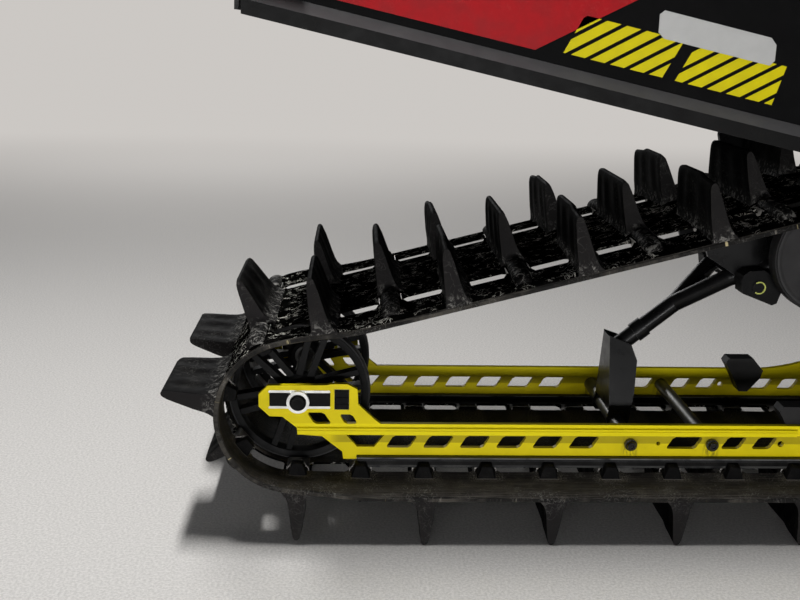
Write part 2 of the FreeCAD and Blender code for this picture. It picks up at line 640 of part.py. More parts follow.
def front_shock():
    low = between_rails()["bend_wheel_shaft"]
    return shock(low[:2], (FRONT_PIVOT_X + FRONT_SHOCK_TOP[0], FRONT_PIVOT_Z + FRONT_SHOCK_TOP[1]), low[2], 24)


def front_arm():
    """Frame between the rails' front arm shaft and the tunnel."""
    x, z, r = between_rails()["front_arm_shaft"]
    top_x, top_z = FRONT_PIVOT_X, FRONT_PIVOT_Z
    side = [rod((x, 60, z), (top_x, 108, top_z), ARM_TUBE_R),
            plate(about(top_x, top_z, FRONT_EAR), EAR_Y - EAR_T / 2, EAR_Y + EAR_T / 2)]
    middle = [across(x, z, -WEB_IN + 15, WEB_IN - 15, r + 6), across(top_x, top_z, -BELT_Y + 13, BELT_Y - 13, 19),
              across(top_x + FRONT_SHOCK_TOP[0], top_z + FRONT_SHOCK_TOP[1], -EAR_Y, EAR_Y, SHOCK_PIN_R)]
    bores = [across(x, z, -FAR, FAR, r + SEAT), across(top_x, top_z, -FAR, FAR, AXLE_R + SEAT)]
    return joined(middle + side + [mirrored(piece) for piece in side]).cut(bores)


def front_pivot_shaft():
    face, end = TUNNEL_OUT + SEAT, TUNNEL_OUT + SEAT + HEAD_H
    x, z = FRONT_PIVOT_X, FRONT_PIVOT_Z
    return joined([across(x, z, -end, end, AXLE_R), across(x, z, face, end, AXLE_R + 7),
                   across(x, z, -end, -face, AXLE_R + 7)])


# ---- drive -------------------------------------------------------------------------------------
def drive_axle():
    """Axle with one stub end, on the vehicle's right, that the chain case drives."""
    end = TUNNEL_OUT + SEAT + BEARING_T + 1
    return joined([across(DRIVE_X, DRIVE_Z, -end, end, DRIVE_R),
                   across(DRIVE_X, DRIVE_Z, -end - STUB_L, -end, STUB_R)])


def axle_bearing():
    """Left bearing flange outside the tunnel's side."""
    y0 = TUNNEL_OUT + SEAT
    return joined([ring(DRIVE_X, DRIVE_Z, y0, y0 + 6, BEARING_R, DRIVE_R + SEAT),
                   ring(DRIVE_X, DRIVE_Z, y0, y0 + BEARING_T, BEARING_R - 16, DRIVE_R + SEAT)])


# ---- tunnel ------------------------------------------------------------------------------------
def tunnel_side():
    points = ((TAIL_X, edge_z(TAIL_X)), (FRONT_X, edge_z(FRONT_X)), (FRONT_X, top_z(FRONT_X)),
              (TAIL_X, top_z(TAIL_X)))
    cuts = [across(DRIVE_X, DRIVE_Z, 0, FAR, DRIVE_R + 19),
            across(FRONT_PIVOT_X, FRONT_PIVOT_Z, 0, FAR, AXLE_R + SEAT)]
    for dx in (0, BOLT_DX):
        for dz in (0, BOLT_DZ):
            cuts.append(across(FRONT_X - BOLT_EDGE - dx, DRIVE_Z + dz, 0, FAR, BOLT_HOLE_R))
    return plate(points, TUNNEL_IN, TUNNEL_OUT).cut(cuts)


def under_roof(x0, x1, y0, y1, gap, t):
    """Flat piece of thickness t that lies a gap under the sides' upper edges."""
    high, low = top_z(x0) - gap, top_z(x1) - gap
    return plate(((x0, high), (x1, low), (x1, low - t), (x0, high - t)), y0, y1)


def edge_rail():
    """Left edge extrusion: hollow, with a sloping top, along the side's lower edge."""
    def section(inset):
        y0, y1 = TUNNEL_OUT + SEAT + inset, TUNNEL_OUT + EDGE_W - inset
        z = edge_z(TAIL_X)
        rows = ((y0, z + inset), (y1, z + inset), (y1, z + EDGE_FACE_H - inset * 0.6), (y0, z + EDGE_H - inset * 1.8))
        corners = [V(TAIL_X, y, up) for y, up in rows]
        return Part.Face(Part.makePolygon(corners + corners[:1]))
    return section(0).cut(section(EDGE_WALL)).extrude(V(1, 0, EDGE_SLOPE) * (BOARD_X0 - TAIL_X))


def running_board():
    """Left running board, from the edge extrusion's end to the footrest."""
    y0, y1 = TUNNEL_OUT + SEAT, TUNNEL_OUT + EDGE_W + BOARD_W
    x0, x1 = BOARD_X0 + SEAT, BOARD_X0 + BOARD_L

    def along(low, high):
        return (x0, edge_z(x0) + low), (x1, edge_z(x1) + low), (x1, edge_z(x1) + high), (x0, edge_z(x0) + high)
    return plate(along(0, BOARD_T), y0, y1).fuse(plate(along(-4, RIM_H - 4), y1 - RIM_W, y1))


def front_panel():
    y = TUNNEL_IN - SEAT
    return box(FRONT_X - SHEET_T, FRONT_X, -y, y, edge_z(FRONT_X), top_z(FRONT_X) - SEAT)


def snow_flap():
    x, z = TAIL_X - SEAT, top_z(TAIL_X)
    return plate(((x, z), (x, z - FLAP_H * 0.8), (x - FLAP_T, z - FLAP_H), (x - 2 * FLAP_T, z - FLAP_H),
                  (x - FLAP_T, z)), -TUNNEL_IN, TUNNEL_IN)


def rear_bumper():
    """Bent bar round the tunnel's tail, at half its height."""
    x0, x1, z = TAIL_X + BUMPER_CORNER, TAIL_X - BUMPER_BACK, (edge_z(TAIL_X) + top_z(TAIL_X)) / 2
    y, c = TUNNEL_OUT + SEAT + BUMPER_R, BUMPER_CORNER
    stops = [(x0, y), (x1 + c, y), (x1, y - c), (x1, c - y), (x1 + c, -y), (x0, -y)]
    bar = [rod((a[0], a[1], z), (b[0], b[1], z), BUMPER_R) for a, b in zip(stops, stops[1:])]
    return joined(bar + [Part.makeSphere(BUMPER_R, V(a[0], a[1], z)) for a in stops[1:-1]])


def tail_lamp():
    x0, x1 = TAIL_X - 6, TAIL_X - 6 + LAMP_L
    points = ((x0, roof_z(x0) + SEAT), (x1, roof_z(x1) + SEAT), (x1, roof_z(x1) + LAMP_H * 0.6),
              (x0 + 16, roof_z(x0) + LAMP_H + 2), (x0, roof_z(x0) + LAMP_H))
    return plate(points, -LAMP_W / 2, LAMP_W / 2)


# ---- nodes -------------------------------------------------------------------------------------
def model():
    """Every node's shape by its name."""
    wheel_x, wheel_z, _ = between_rails()["bend_wheel_shaft"]
    cooler_x, cooler_y = TAIL_X + 2 * BUMPER_CORNER, TUNNEL_IN - 22
    nodes = {
        "track_belt": track_belt(), "rear_axle": shaft_on_bolt(0, AXLE_Z, AXLE_R, WEB_OUT + 2 * SEAT + WASHER_T),
        "arm_bracket": arm_bracket(), "rear_arm": rear_arm(), "rear_shock": rear_shock(),
        "upper_shaft": upper_shaft(),
        "front_arm": front_arm(), "front_shock": front_shock(), "front_pivot_shaft": front_pivot_shaft(),
        "drive_axle": drive_axle(), "front_panel": front_panel(), "snow_flap": snow_flap(),
        "tunnel_top": under_roof(TAIL_X, FRONT_X, -TUNNEL_OUT, TUNNEL_OUT, -SEAT - SHEET_T, SHEET_T),
        "rear_bumper": rear_bumper(), "tail_lamp": tail_lamp(),
    }
    for name, (x, z, r) in between_rails().items():
        nodes[name] = shaft_on_bolt(x, z, r, WEB_OUT + SEAT)
    pairs = {
        "rail": rail(), "slider": slider(), "axle_adjuster": axle_adjuster(),
        "rear_wheel": spoked_wheel(0, AXLE_Z, REAR_WHEEL_Y),
        "idler_wheel": dished_wheel(IDLER_X, IDLER_Z, IDLER_Y, IDLER_R, IDLER_W),
        "bend_wheel": dished_wheel(wheel_x, wheel_z, REAR_WHEEL_Y, BEND_WHEEL_R, BEND_WHEEL_W),
        "link_block": link_block(), "drop_bracket": drop_bracket(),
        "bump_stop": bump_stop(), "drive_sprocket": drive_sprocket(), "axle_bearing": axle_bearing(),
        "tunnel_side": tunnel_side(), "edge_rail": edge_rail(), "running_board": running_board(),
        "cooler": under_roof(cooler_x, cooler_x + COOLER_L, cooler_y - COOLER_W, cooler_y, SEAT, COOLER_T),
    }
    for name, shape in pairs.items():
        nodes[name + "_left"] = shape
        nodes[name + "_right"] = mirrored(shape)
    return nodes


def write(nodes):
    """Move the model to its origin and write one file per node."""
    boxes = [shape.BoundBox for shape in nodes.values()]
    middle = (min(b.XMin for b in boxes) + max(b.XMax for b in boxes)) / 2
    for name, shape in nodes.items():
        shape.translate(V(-middle, 0, 0))
        shape.exportStep("parts/" + name + ".step")


write(model())
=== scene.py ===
"""Looks of a snowmobile's rear drive module: tunnel, lugged track and sliding-rail suspension.

Metres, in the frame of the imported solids: +X forward, +Y the vehicle's left, +Z up.
"""
import json
import math

import bmesh
import bpy
from bpy.props import FloatProperty, FloatVectorProperty, IntProperty, PointerProperty
from mathutils import Matrix, Vector

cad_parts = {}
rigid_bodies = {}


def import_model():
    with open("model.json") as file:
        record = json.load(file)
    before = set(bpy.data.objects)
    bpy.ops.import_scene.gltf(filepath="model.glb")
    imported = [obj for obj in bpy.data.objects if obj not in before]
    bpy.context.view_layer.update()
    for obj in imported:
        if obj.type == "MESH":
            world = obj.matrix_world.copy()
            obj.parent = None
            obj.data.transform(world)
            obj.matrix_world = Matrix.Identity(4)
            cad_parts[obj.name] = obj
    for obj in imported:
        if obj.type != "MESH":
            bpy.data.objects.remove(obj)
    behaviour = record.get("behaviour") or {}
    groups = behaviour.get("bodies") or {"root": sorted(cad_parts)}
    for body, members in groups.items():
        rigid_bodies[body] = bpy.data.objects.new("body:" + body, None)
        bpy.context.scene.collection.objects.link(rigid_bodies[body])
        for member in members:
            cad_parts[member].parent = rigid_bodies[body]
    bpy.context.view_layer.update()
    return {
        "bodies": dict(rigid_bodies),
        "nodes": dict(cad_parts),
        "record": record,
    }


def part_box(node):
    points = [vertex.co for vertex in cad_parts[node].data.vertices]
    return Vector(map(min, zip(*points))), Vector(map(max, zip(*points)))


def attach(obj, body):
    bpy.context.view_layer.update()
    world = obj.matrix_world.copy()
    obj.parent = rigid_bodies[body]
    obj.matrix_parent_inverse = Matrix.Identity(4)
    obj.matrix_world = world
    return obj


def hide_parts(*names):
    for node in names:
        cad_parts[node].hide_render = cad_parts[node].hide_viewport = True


bl_info = {
    "name": "Snowmobile Rear Module",
    "version": (1, 0, 0),
    "blender": (4, 5, 0),
    "location": "View3D > Sidebar > Rear Module",
    "description": "Builds the track, the rail details, the wheels, the tunnel trim and their finishes",
    "category": "Object",
}

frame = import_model()
BODY = next(iter(frame["bodies"]))
SIDES = {"left": 1, "right": -1}
SHAFTS = ("arm_shaft", "middle_shaft", "shock_shaft", "front_arm_shaft", "bend_wheel_shaft")
MM = 0.001


def middle(node):
    low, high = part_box(node)
    return (low + high) / 2


def round_size(node):
    """x, z and radius of a node that is round about Y."""
    low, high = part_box(node)
    return (low.x + high.x) / 2, (low.z + high.z) / 2, (high.z - low.z) / 2


AXLE_X, AXLE_Z, REAR_WHEEL_R = round_size("rear_wheel_left")
IDLER_X, IDLER_Z, IDLER_R = round_size("idler_wheel_left")
DRIVE_X, DRIVE_Z = middle("axle_bearing_left").x, middle("axle_bearing_left").z
# clearance between the wheels and the belt
RUN = 0.3 * MM
# from the shafts down to the rail web's lower edge, and from the rail's widest point in to its web
WEB_BELOW, WEB_INSET = 0.0087, 0.004
RAIL_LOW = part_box("middle_shaft")[0].z - WEB_BELOW
RAIL_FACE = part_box("rail_left")[1].y - WEB_INSET
# heights over the web's lower edge: the band under the ridge, painted olive as the ridge's shadow, and the
# ridge over it, painted brighter as its highlight
RIDGE_SHADOW_SPAN, RIDGE_HIGHLIGHT_SPAN = (0.0190, 0.0314), (0.0316, 0.0470)
# where the drive lugs stand, from the middle outwards
DRIVE_LUG_Y = (0.1425, 0.1560)
# where the belt thins towards its edge, from the middle outwards
RIM = (0.176, 0.195)
# radius of the bores in the wheels
BORE = 0.0113
# two places closer than this are one
SAME = 1e-6


# ---- sizes and colours -------------------------------------------------------------------------
def length(name, about, default):
    return FloatProperty(name=name, description=about, default=default, unit="LENGTH", precision=4, min=0.0)


def colour(name, about, default):
    return FloatVectorProperty(name=name, description=about, default=default, subtype="COLOR", size=3,
                               min=0.0, max=1.0)


class TrackSizes(bpy.types.PropertyGroup):
    pitch: length("Pitch", "Distance between two bars of the track", 0.0889)
    bars: IntProperty(name="Bars", description="Number of bars round the loop", default=47, min=8)
    first_bar: FloatProperty(name="First bar", description="Place of bar 0 on the bottom run",
                             default=-0.0005, unit="LENGTH", precision=4)
    width: length("Width", "Width of the belt", 0.406)
    thickness: length("Thickness", "Thickness of the belt at its bars", 0.010)
    thinner: length("Thinner by", "How much thinner the belt is between its bars", 0.0045)
    sag: length("Sag", "How far the belt's free edges hang", 0.0125)
    slack: length("Slack", "How far the bars lag on the upper run", 0.010)
    lug_height: length("Lug height", "Height of the lugs above the belt", 0.070)
    window_length: length("Window length", "Length of the openings between the bars", 0.061)
    window_in: length("Window inner edge", "From the middle to the openings' inner edge", 0.110)
    window_out: length("Window outer edge", "From the middle to the openings' outer edge", 0.142)
    bend_radius: length("Bend radius", "Radius of the belt round the rails' front end", 0.350)
    bend_back: length("Bend place", "From the drive axle back to the bend's centre", 0.440)
    teeth: IntProperty(name="Teeth", description="Teeth of the drive sprockets", default=8, min=4)


class TrimSizes(bpy.types.PropertyGroup):
    sheet: length("Sheet", "Thickness of stickers and thin plates", 0.0006)
    bolt_r: length("Bolt head", "Radius of the bolt heads", 0.0085)


class Colours(bpy.types.PropertyGroup):
    yellow: colour("Rail yellow", "Coating of the rails", (0.82, 0.67, 0.0015))
    rubber: colour("Rubber", "Track rubber", (0.0024, 0.0023, 0.0023))
    black: colour("Black", "Paint of the arms", (0.0045, 0.0045, 0.0048))
    panel: colour("Panel", "Paint of the tunnel", (0.0040, 0.0040, 0.0042))
    edge: colour("Edge", "Coating of the edge extrusions", (0.050, 0.049, 0.050))
    red: colour("Red", "Red sticker", (0.40, 0.006, 0.010))


# ---- nodes -------------------------------------------------------------------------------------
def add(tree, kind, inputs=(), **settings):
    """New node with its settings and inputs; an input's value may be another node's output."""
    made = tree.nodes.new(kind)
    for key, value in settings.items():
        setattr(made, key, value)
    for key, value in dict(inputs).items():
        if isinstance(value, bpy.types.NodeSocket):
            tree.links.new(value, made.inputs[key])
        else:
            made.inputs[key].default_value = value
    return made


def math_node(tree, operation, *values):
    return add(tree, "ShaderNodeMath", dict(enumerate(values)), operation=operation).outputs[0]


def times(tree, first, *others):
    """Product of two or more values."""
    for other in others:
        first = math_node(tree, "MULTIPLY", first, other)
    return first


def size_of(tree, value):
    return math_node(tree, "ABSOLUTE", value)


def ramp(tree, value, low, high):
    """0 at low and 1 at high, in between smoothly."""
    made = add(tree, "ShaderNodeMapRange", {"Value": value, "From Min": low, "From Max": high},
               interpolation_type="SMOOTHSTEP")
    return made.outputs["Result"]


def between(tree, value, low, high, soft):
    """1 where the value lies between low and high, with soft ends."""
    return times(tree, ramp(tree, value, low - soft, low + soft), ramp(tree, value, high + soft, high - soft))


def mix(tree, share, a, b):
    made = add(tree, "ShaderNodeMix", data_type="RGBA")
    for index, value in ((0, share), (6, a), (7, b)):
        if isinstance(value, bpy.types.NodeSocket):
            tree.links.new(value, made.inputs[index])
        else:
            made.inputs[index].default_value = value if index == 0 else (*value[:3], 1.0)
    return made.outputs[2]


def object_place(tree):
    return add(tree, "ShaderNodeTexCoord").outputs["Object"]


def parts_of(tree, vector):
    """A vector's X, Y and Z."""
    return add(tree, "ShaderNodeSeparateXYZ", {0: vector}).outputs


def facing(tree):
    """X, Y and Z of the way the surface faces."""
    return parts_of(tree, add(tree, "ShaderNodeNewGeometry").outputs["Normal"])


def noise(tree, place, scale, detail, roughness=0.5, distortion=0.0):
    return add(tree, "ShaderNodeTexNoise", {"Vector": place, "Scale": scale, "Detail": detail,
                                            "Roughness": roughness, "Distortion": distortion}).outputs[0]


def drawn_out(tree, place, scale):
    """Places scaled along each axis by its own number, so that noise is drawn out where it is small."""
    return add(tree, "ShaderNodeMapping", {"Vector": place, "Scale": scale}).outputs[0]


def add_inputs(tree, inputs):
    """Named inputs of a node tree, each given as (name, kind, default)."""
    for label, kind, default in inputs:
        socket = tree.interface.new_socket(label, in_out="INPUT", socket_type="NodeSocket" + kind)
        if default is not None:
            socket.default_value = default


def shader_group(name, inputs, outputs, fill):
    """Shader node group; its outputs are given as (name, kind), and fill(tree, given) returns them."""
    tree = bpy.data.node_groups.new(name, "ShaderNodeTree")
    add_inputs(tree, inputs)
    for label, kind in outputs:
        tree.interface.new_socket(label, in_out="OUTPUT", socket_type="NodeSocket" + kind)
    given = tree.nodes.new("NodeGroupInput").outputs
    results = fill(tree, given)
    add(tree, "NodeGroupOutput", results)
    return tree


def wear_group():
    """Mask of the outer edges, broken up by noise, and the rounded normal."""
    def fill(tree, given):
        rounded = add(tree, "ShaderNodeBevel", {"Radius": given["Radius"]}, samples=4).outputs[0]
        flat = add(tree, "ShaderNodeNewGeometry").outputs["Normal"]
        apart = add(tree, "ShaderNodeVectorMath", {0: rounded, 1: flat},
                    operation="DOT_PRODUCT").outputs["Value"]
        edge = ramp(tree, math_node(tree, "SUBTRACT", 1.0, apart), 0.02, 0.22)
        broken = ramp(tree, noise(tree, object_place(tree), given["Breakup"], 4.0), 0.38, 0.62)
        return {"Mask": times(tree, edge, broken, given["Amount"]), "Normal": rounded}
    return shader_group("Worn edges", (("Radius", "Float", 0.0008), ("Amount", "Float", 1.0),
                                       ("Breakup", "Float", 120.0)),
                        (("Mask", "Float"), ("Normal", "Vector")), fill)


def dust_group():
    """Patchy dust that lies more on faces that look up."""
    def fill(tree, given):
        place = object_place(tree)
        patches = noise(tree, place, given["Patches"], 6.0, 0.65)
        grains = noise(tree, place, given["Grains"], 2.0, 0.7)
        lying = ramp(tree, facing(tree)["Z"], -0.4, 0.8)
        spots = times(tree, ramp(tree, patches, 0.45, 0.72), ramp(tree, grains, 0.42, 0.66))
        share = math_node(tree, "MULTIPLY_ADD", lying, 0.75, 0.25)
        return {"Mask": times(tree, spots, share, given["Amount"])}
    return shader_group("Dust", (("Patches", "Float", 20.0), ("Grains", "Float", 900.0),
                                 ("Amount", "Float", 1.0)), (("Mask", "Float"),), fill)


def hairline_group():
    """Thin wandering lines, such as scuffs and fibres caught on rubber."""
    def fill(tree, given):
        place = object_place(tree)
        lines = noise(tree, place, given["Scale"], 2.5, distortion=1.6)
        away = size_of(tree, math_node(tree, "SUBTRACT", lines, 0.5))
        thin = math_node(tree, "SUBTRACT", 1.0, ramp(tree, away, 0.0, given["Width"]))
        where = ramp(tree, noise(tree, place, given["Patches"], 3.0), given["Cover"], 0.62)
        return {"Mask": times(tree, thin, where, given["Amount"])}
    return shader_group("Hairlines", (("Scale", "Float", 60.0), ("Width", "Float", 0.02),
                                      ("Patches", "Float", 14.0), ("Amount", "Float", 1.0),
                                      ("Cover", "Float", 0.42)), (("Mask", "Float"),), fill)


def grain_group():
    """Height and tone of a moulded, coated or cast surface."""
    def fill(tree, given):
        place = object_place(tree)
        fine = noise(tree, place, given["Fine"], 3.0)
        broad = noise(tree, place, given["Broad"], 5.0, 0.6)
        height = math_node(tree, "MULTIPLY_ADD", broad, 0.6, times(tree, fine, 0.4))
        return {"Height": height, "Tone": ramp(tree, broad, 0.3, 0.7)}
    return shader_group("Grain", (("Fine", "Float", 1500.0), ("Broad", "Float", 40.0)),
                        (("Height", "Float"), ("Tone", "Float")), fill)


GROUPS = {}


def use_group(tree, name, **values):
    if name not in GROUPS:
        GROUPS[name] = {"wear": wear_group, "dust": dust_group, "hairlines": hairline_group,
                        "grain": grain_group}[name]()
    made = tree.nodes.new("ShaderNodeGroup")
    made.node_tree = GROUPS[name]
    for key, value in values.items():
        made.inputs[key.capitalize()].default_value = value
    return made.outputs


def finish(name, base, roughness, metallic=0.0, tone=0.25, fine=1500.0, broad=40.0, bump=0.08, spread=0.12,
           dust=None, wear=None, hairs=None, coat=0.0, shine=0.5, extra=None):
    """Material from the shared groups.

    dust is (amount, colour, patches), wear is (amount, colour, radius) and hairs (amount, colour, scale).
    extra(tree, colour) may paint more onto the colour.
    """
    material = bpy.data.materials.new(name)
    material.use_nodes = True
    tree = material.node_tree
    shader = tree.nodes["Principled BSDF"]
    grain = use_group(tree, "grain", fine=fine, broad=broad)
    light = [min(1.0, c * (1 + tone)) for c in base[:3]]
    dark = [c * (1 - tone) for c in base[:3]]
    shade = mix(tree, grain["Tone"], dark, light)
    rough = math_node(tree, "MULTIPLY_ADD", grain["Tone"], spread, roughness - spread / 2)
    normal = None
    if extra:
        shade = extra(tree, shade)
    if wear:
        edges = use_group(tree, "wear", amount=wear[0], radius=wear[2])
        shade = mix(tree, edges["Mask"], shade, wear[1])
        normal = edges["Normal"]
    if hairs:
        lines = use_group(tree, "hairlines", amount=hairs[0], scale=hairs[2])
        shade = mix(tree, lines["Mask"], shade, hairs[1])
    if dust:
        dusty = use_group(tree, "dust", amount=dust[0], patches=dust[2])
        shade = mix(tree, dusty["Mask"], shade, dust[1])
        rough = math_node(tree, "MULTIPLY_ADD", dusty["Mask"], 0.2, rough)
    tree.links.new(shade, shader.inputs["Base Color"])
    tree.links.new(rough, shader.inputs["Roughness"])
    shader.inputs["Metallic"].default_value = metallic
    shader.inputs["Coat Weight"].default_value = coat
    shader.inputs["Specular IOR Level"].default_value = shine
    relief = add(tree, "ShaderNodeBump", {"Strength": bump, "Distance": 0.0006, "Height": grain["Height"]})
    if normal:
        tree.links.new(normal, relief.inputs["Normal"])
    tree.links.new(relief.outputs[0], shader.inputs["Normal"])
    return material


PALE_DUST = (0.42, 0.40, 0.36)
SCUFF = (0.30, 0.29, 0.27)
# grey of the lugs' end faces: painted light
LUG_END_PAINTED_LIGHT = (0.017, 0.016, 0.016)
DRY_FIBRE = (0.62, 0.60, 0.54)
CUT_RUBBER = (0.0065, 0.0060, 0.0055)
RUBBED_BROWN = (0.105, 0.095, 0.080)
NICK_BLACK, NICK_PALE = (0.004, 0.004, 0.004), (0.22, 0.20, 0.17)
FOOT_PALE, FOOT_GRIME = (0.24, 0.225, 0.20), (0.26, 0.235, 0.19)
EDGE_CHIP = (0.55, 0.47, 0.26)
# darker colour of the edge extrusion's upright face: painted shade
EDGE_UPRIGHT_PAINTED_SHADE = (0.0030, 0.0029, 0.0030)
# slider: painted shade in its middle band, a painted highlight along its top edge, and the grey of a pale
# line along its bottom edge
SLIDER_PAINTED_SHADE, SLIDER_PAINTED_HIGHLIGHT, FOOT_GREY = (0.0012, 0.0012, 0.0013), (0.26, 0.26, 0.25), (0.05, 0.05, 0.048)
# olive painted shadow under the rail's ridge, yellow painted highlight on the ridge, and brown dirt streaks
# under the bolts
PAINTED_RIDGE_SHADOW, PAINTED_RIDGE_HIGHLIGHT, STREAK_BROWN = (0.16, 0.12, 0.008), (1.0, 0.86, 0.003), (0.10, 0.075, 0.012)
MATERIALS = {}


def lug_tones(tree, shade):
    """Scuffed lug feet, more so on the upper run, and end faces painted greyer than the broad ones, as
    painted light.
    """
    # painted light: the lug's end faces, which face along Y, are made greyer than its broad faces
    ends = ramp(tree, size_of(tree, facing(tree)["Y"]), 0.45, 0.75)
    shade = mix(tree, ends, shade, LUG_END_PAINTED_LIGHT)
    place = object_place(tree)
    above_foot = add(tree, "ShaderNodeAttribute", attribute_name="root").outputs["Fac"]
    scuffed = ramp(tree, noise(tree, place, 90.0, 8.0, 0.75, 1.2), 0.5, 0.62)
    upper = ramp(tree, parts_of(tree, place)["Z"], AXLE_Z - 0.10, AXLE_Z + 0.05)
    upper = math_node(tree, "MULTIPLY_ADD", upper, 0.8, 0.2)
    mask = times(tree, ramp(tree, above_foot, 0.26, 0.0), scuffed, upper, 0.70)
    return mix(tree, mask, shade, SCUFF)


def fibres(tree, shade):
    """Two layers of dry fibres, in clumps, on the belt's outer face."""
    for size, clump, thick in ((44.0, 34.0, 0.022), (72.0, 60.0, 0.030)):
        lines = use_group(tree, "hairlines", amount=1.0, scale=size, patches=clump, width=thick, cover=0.52)
        shade = mix(tree, lines["Mask"], shade, DRY_FIBRE)
    return shade


def belt_streaks(tree, shade):
    """Lengthwise wear lines and pale chips along the belt's edge, on the belt's own UV map in metres."""
    flat = add(tree, "ShaderNodeUVMap", uv_map="along").outputs[0]
    cut_edge = ramp(tree, size_of(tree, facing(tree)["Y"]), 0.5, 0.8)
    shade = mix(tree, cut_edge, shade, CUT_RUBBER)
    lines = noise(tree, drawn_out(tree, flat, (14.0, 900.0, 1.0)), 1.0, 5.0, 0.7)
    shade = mix(tree, times(tree, ramp(tree, lines, 0.46, 0.66), 0.60), shade, RUBBED_BROWN)
    nicks = noise(tree, drawn_out(tree, flat, (110.0, 420.0, 1.0)), 1.0, 6.0, 0.75, 1.0)
    shade = mix(tree, times(tree, ramp(tree, nicks, 0.40, 0.30), 0.8), shade, NICK_BLACK)
    shade = mix(tree, times(tree, ramp(tree, nicks, 0.60, 0.70), 0.7), shade, NICK_PALE)
    places = parts_of(tree, flat)
    across = size_of(tree, places["Y"])
    off_bar = math_node(tree, "PINGPONG", places["X"], bpy.context.scene.module_track.pitch / 2)
    beside = size_of(tree, math_node(tree, "SUBTRACT", across, DRIVE_LUG_Y[1] + 0.0012))
    foot = times(tree, ramp(tree, beside, 0.0016, 0.0008), ramp(tree, off_bar, 0.0150, 0.0138))
    shade = mix(tree, times(tree, foot, 0.8), shade, FOOT_PALE)
    grime = times(tree, ramp(tree, off_bar, 0.030, 0.018), ramp(tree, across, 0.168, 0.158),
                  ramp(tree, noise(tree, flat, 420.0, 6.0, 0.8), 0.48, 0.60))
    shade = mix(tree, times(tree, grime, 0.75), shade, FOOT_GRIME)
    rim = ramp(tree, across, 0.1995, 0.2015)
    chips = ramp(tree, noise(tree, flat, 75.0, 3.0, 0.6), 0.66, 0.70)
    return mix(tree, times(tree, rim, chips), shade, EDGE_CHIP)


def edge_strip_painted_shade(tree, shade):
    """The extrusion's upright face is painted darker than its sloping top, as painted shade."""
    return mix(tree, ramp(tree, facing(tree)["Z"], 0.1, 0.5), EDGE_UPRIGHT_PAINTED_SHADE, shade)


def slider_lines(tree, shade):
    """A painted highlight along the slider's top edge, a pale line along its bottom edge, and painted shade
    in the band between them.
    """
    place = object_place(tree)
    up = parts_of(tree, place)["Z"]
    low, high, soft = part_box("slider_left")[0].z, RAIL_LOW, 0.0003
    # painted shade: the slider's middle band is made near black
    shade = mix(tree, between(tree, up, low + 0.0038, high - 0.0062, soft), shade, SLIDER_PAINTED_SHADE)
    patchy = noise(tree, place, 30.0, 5.0)
    # painted highlight: a pale line along the slider's top edge
    lip = times(tree, between(tree, up, high - 0.0021, high - 0.0009, soft), ramp(tree, patchy, 0.30, 0.55))
    shade = mix(tree, times(tree, lip, 0.8), shade, SLIDER_PAINTED_HIGHLIGHT)
    foot = times(tree, between(tree, up, low + 0.0006, low + 0.0034, soft), ramp(tree, patchy, 0.35, 0.60))
    return mix(tree, foot, shade, FOOT_GREY)


def bolt_grime_and_ridge_light(places):
    """Brown dirt streaks that run down from bolts, given as x and z; also an olive band painted under the
    ridge as its shadow, and the ridge painted brighter as its highlight.
    """
    def extra(tree, shade):
        place = object_place(tree)
        at = parts_of(tree, place)
        runs = ramp(tree, noise(tree, drawn_out(tree, place, (260.0, 260.0, 60.0)), 1.0, 4.0), 0.40, 0.62)
        foot, ridge = ([RAIL_LOW + height for height in span] for span in (RIDGE_SHADOW_SPAN, RIDGE_HIGHLIGHT_SPAN))
        # painted shadow: the web under the ridge is painted olive, from just ahead of the rear axle forward
        under = times(tree, between(tree, at["Z"], *foot, 0.0006),
                      ramp(tree, at["X"], AXLE_X + 0.04, AXLE_X + 0.06))
        shade = mix(tree, times(tree, under, 0.50), shade, PAINTED_RIDGE_SHADOW)
        # painted highlight: the ridge is painted a brighter yellow
        over = between(tree, at["Z"], *ridge, 0.0004)
        shade = mix(tree, times(tree, over, 0.6), shade, PAINTED_RIDGE_HIGHLIGHT)
        total = 0.0
        for x, z in places:
            side = size_of(tree, math_node(tree, "SUBTRACT", at["X"], x))
            beside = math_node(tree, "SUBTRACT", 1.0, ramp(tree, side, 0.005, 0.014))
            below = math_node(tree, "SUBTRACT", z, at["Z"])
            total = math_node(tree, "MAXIMUM", times(tree, beside, ramp(tree, below, -0.016, 0.004)), total)
        return mix(tree, times(tree, total, runs, 0.72), shade, STREAK_BROWN)
    return extra


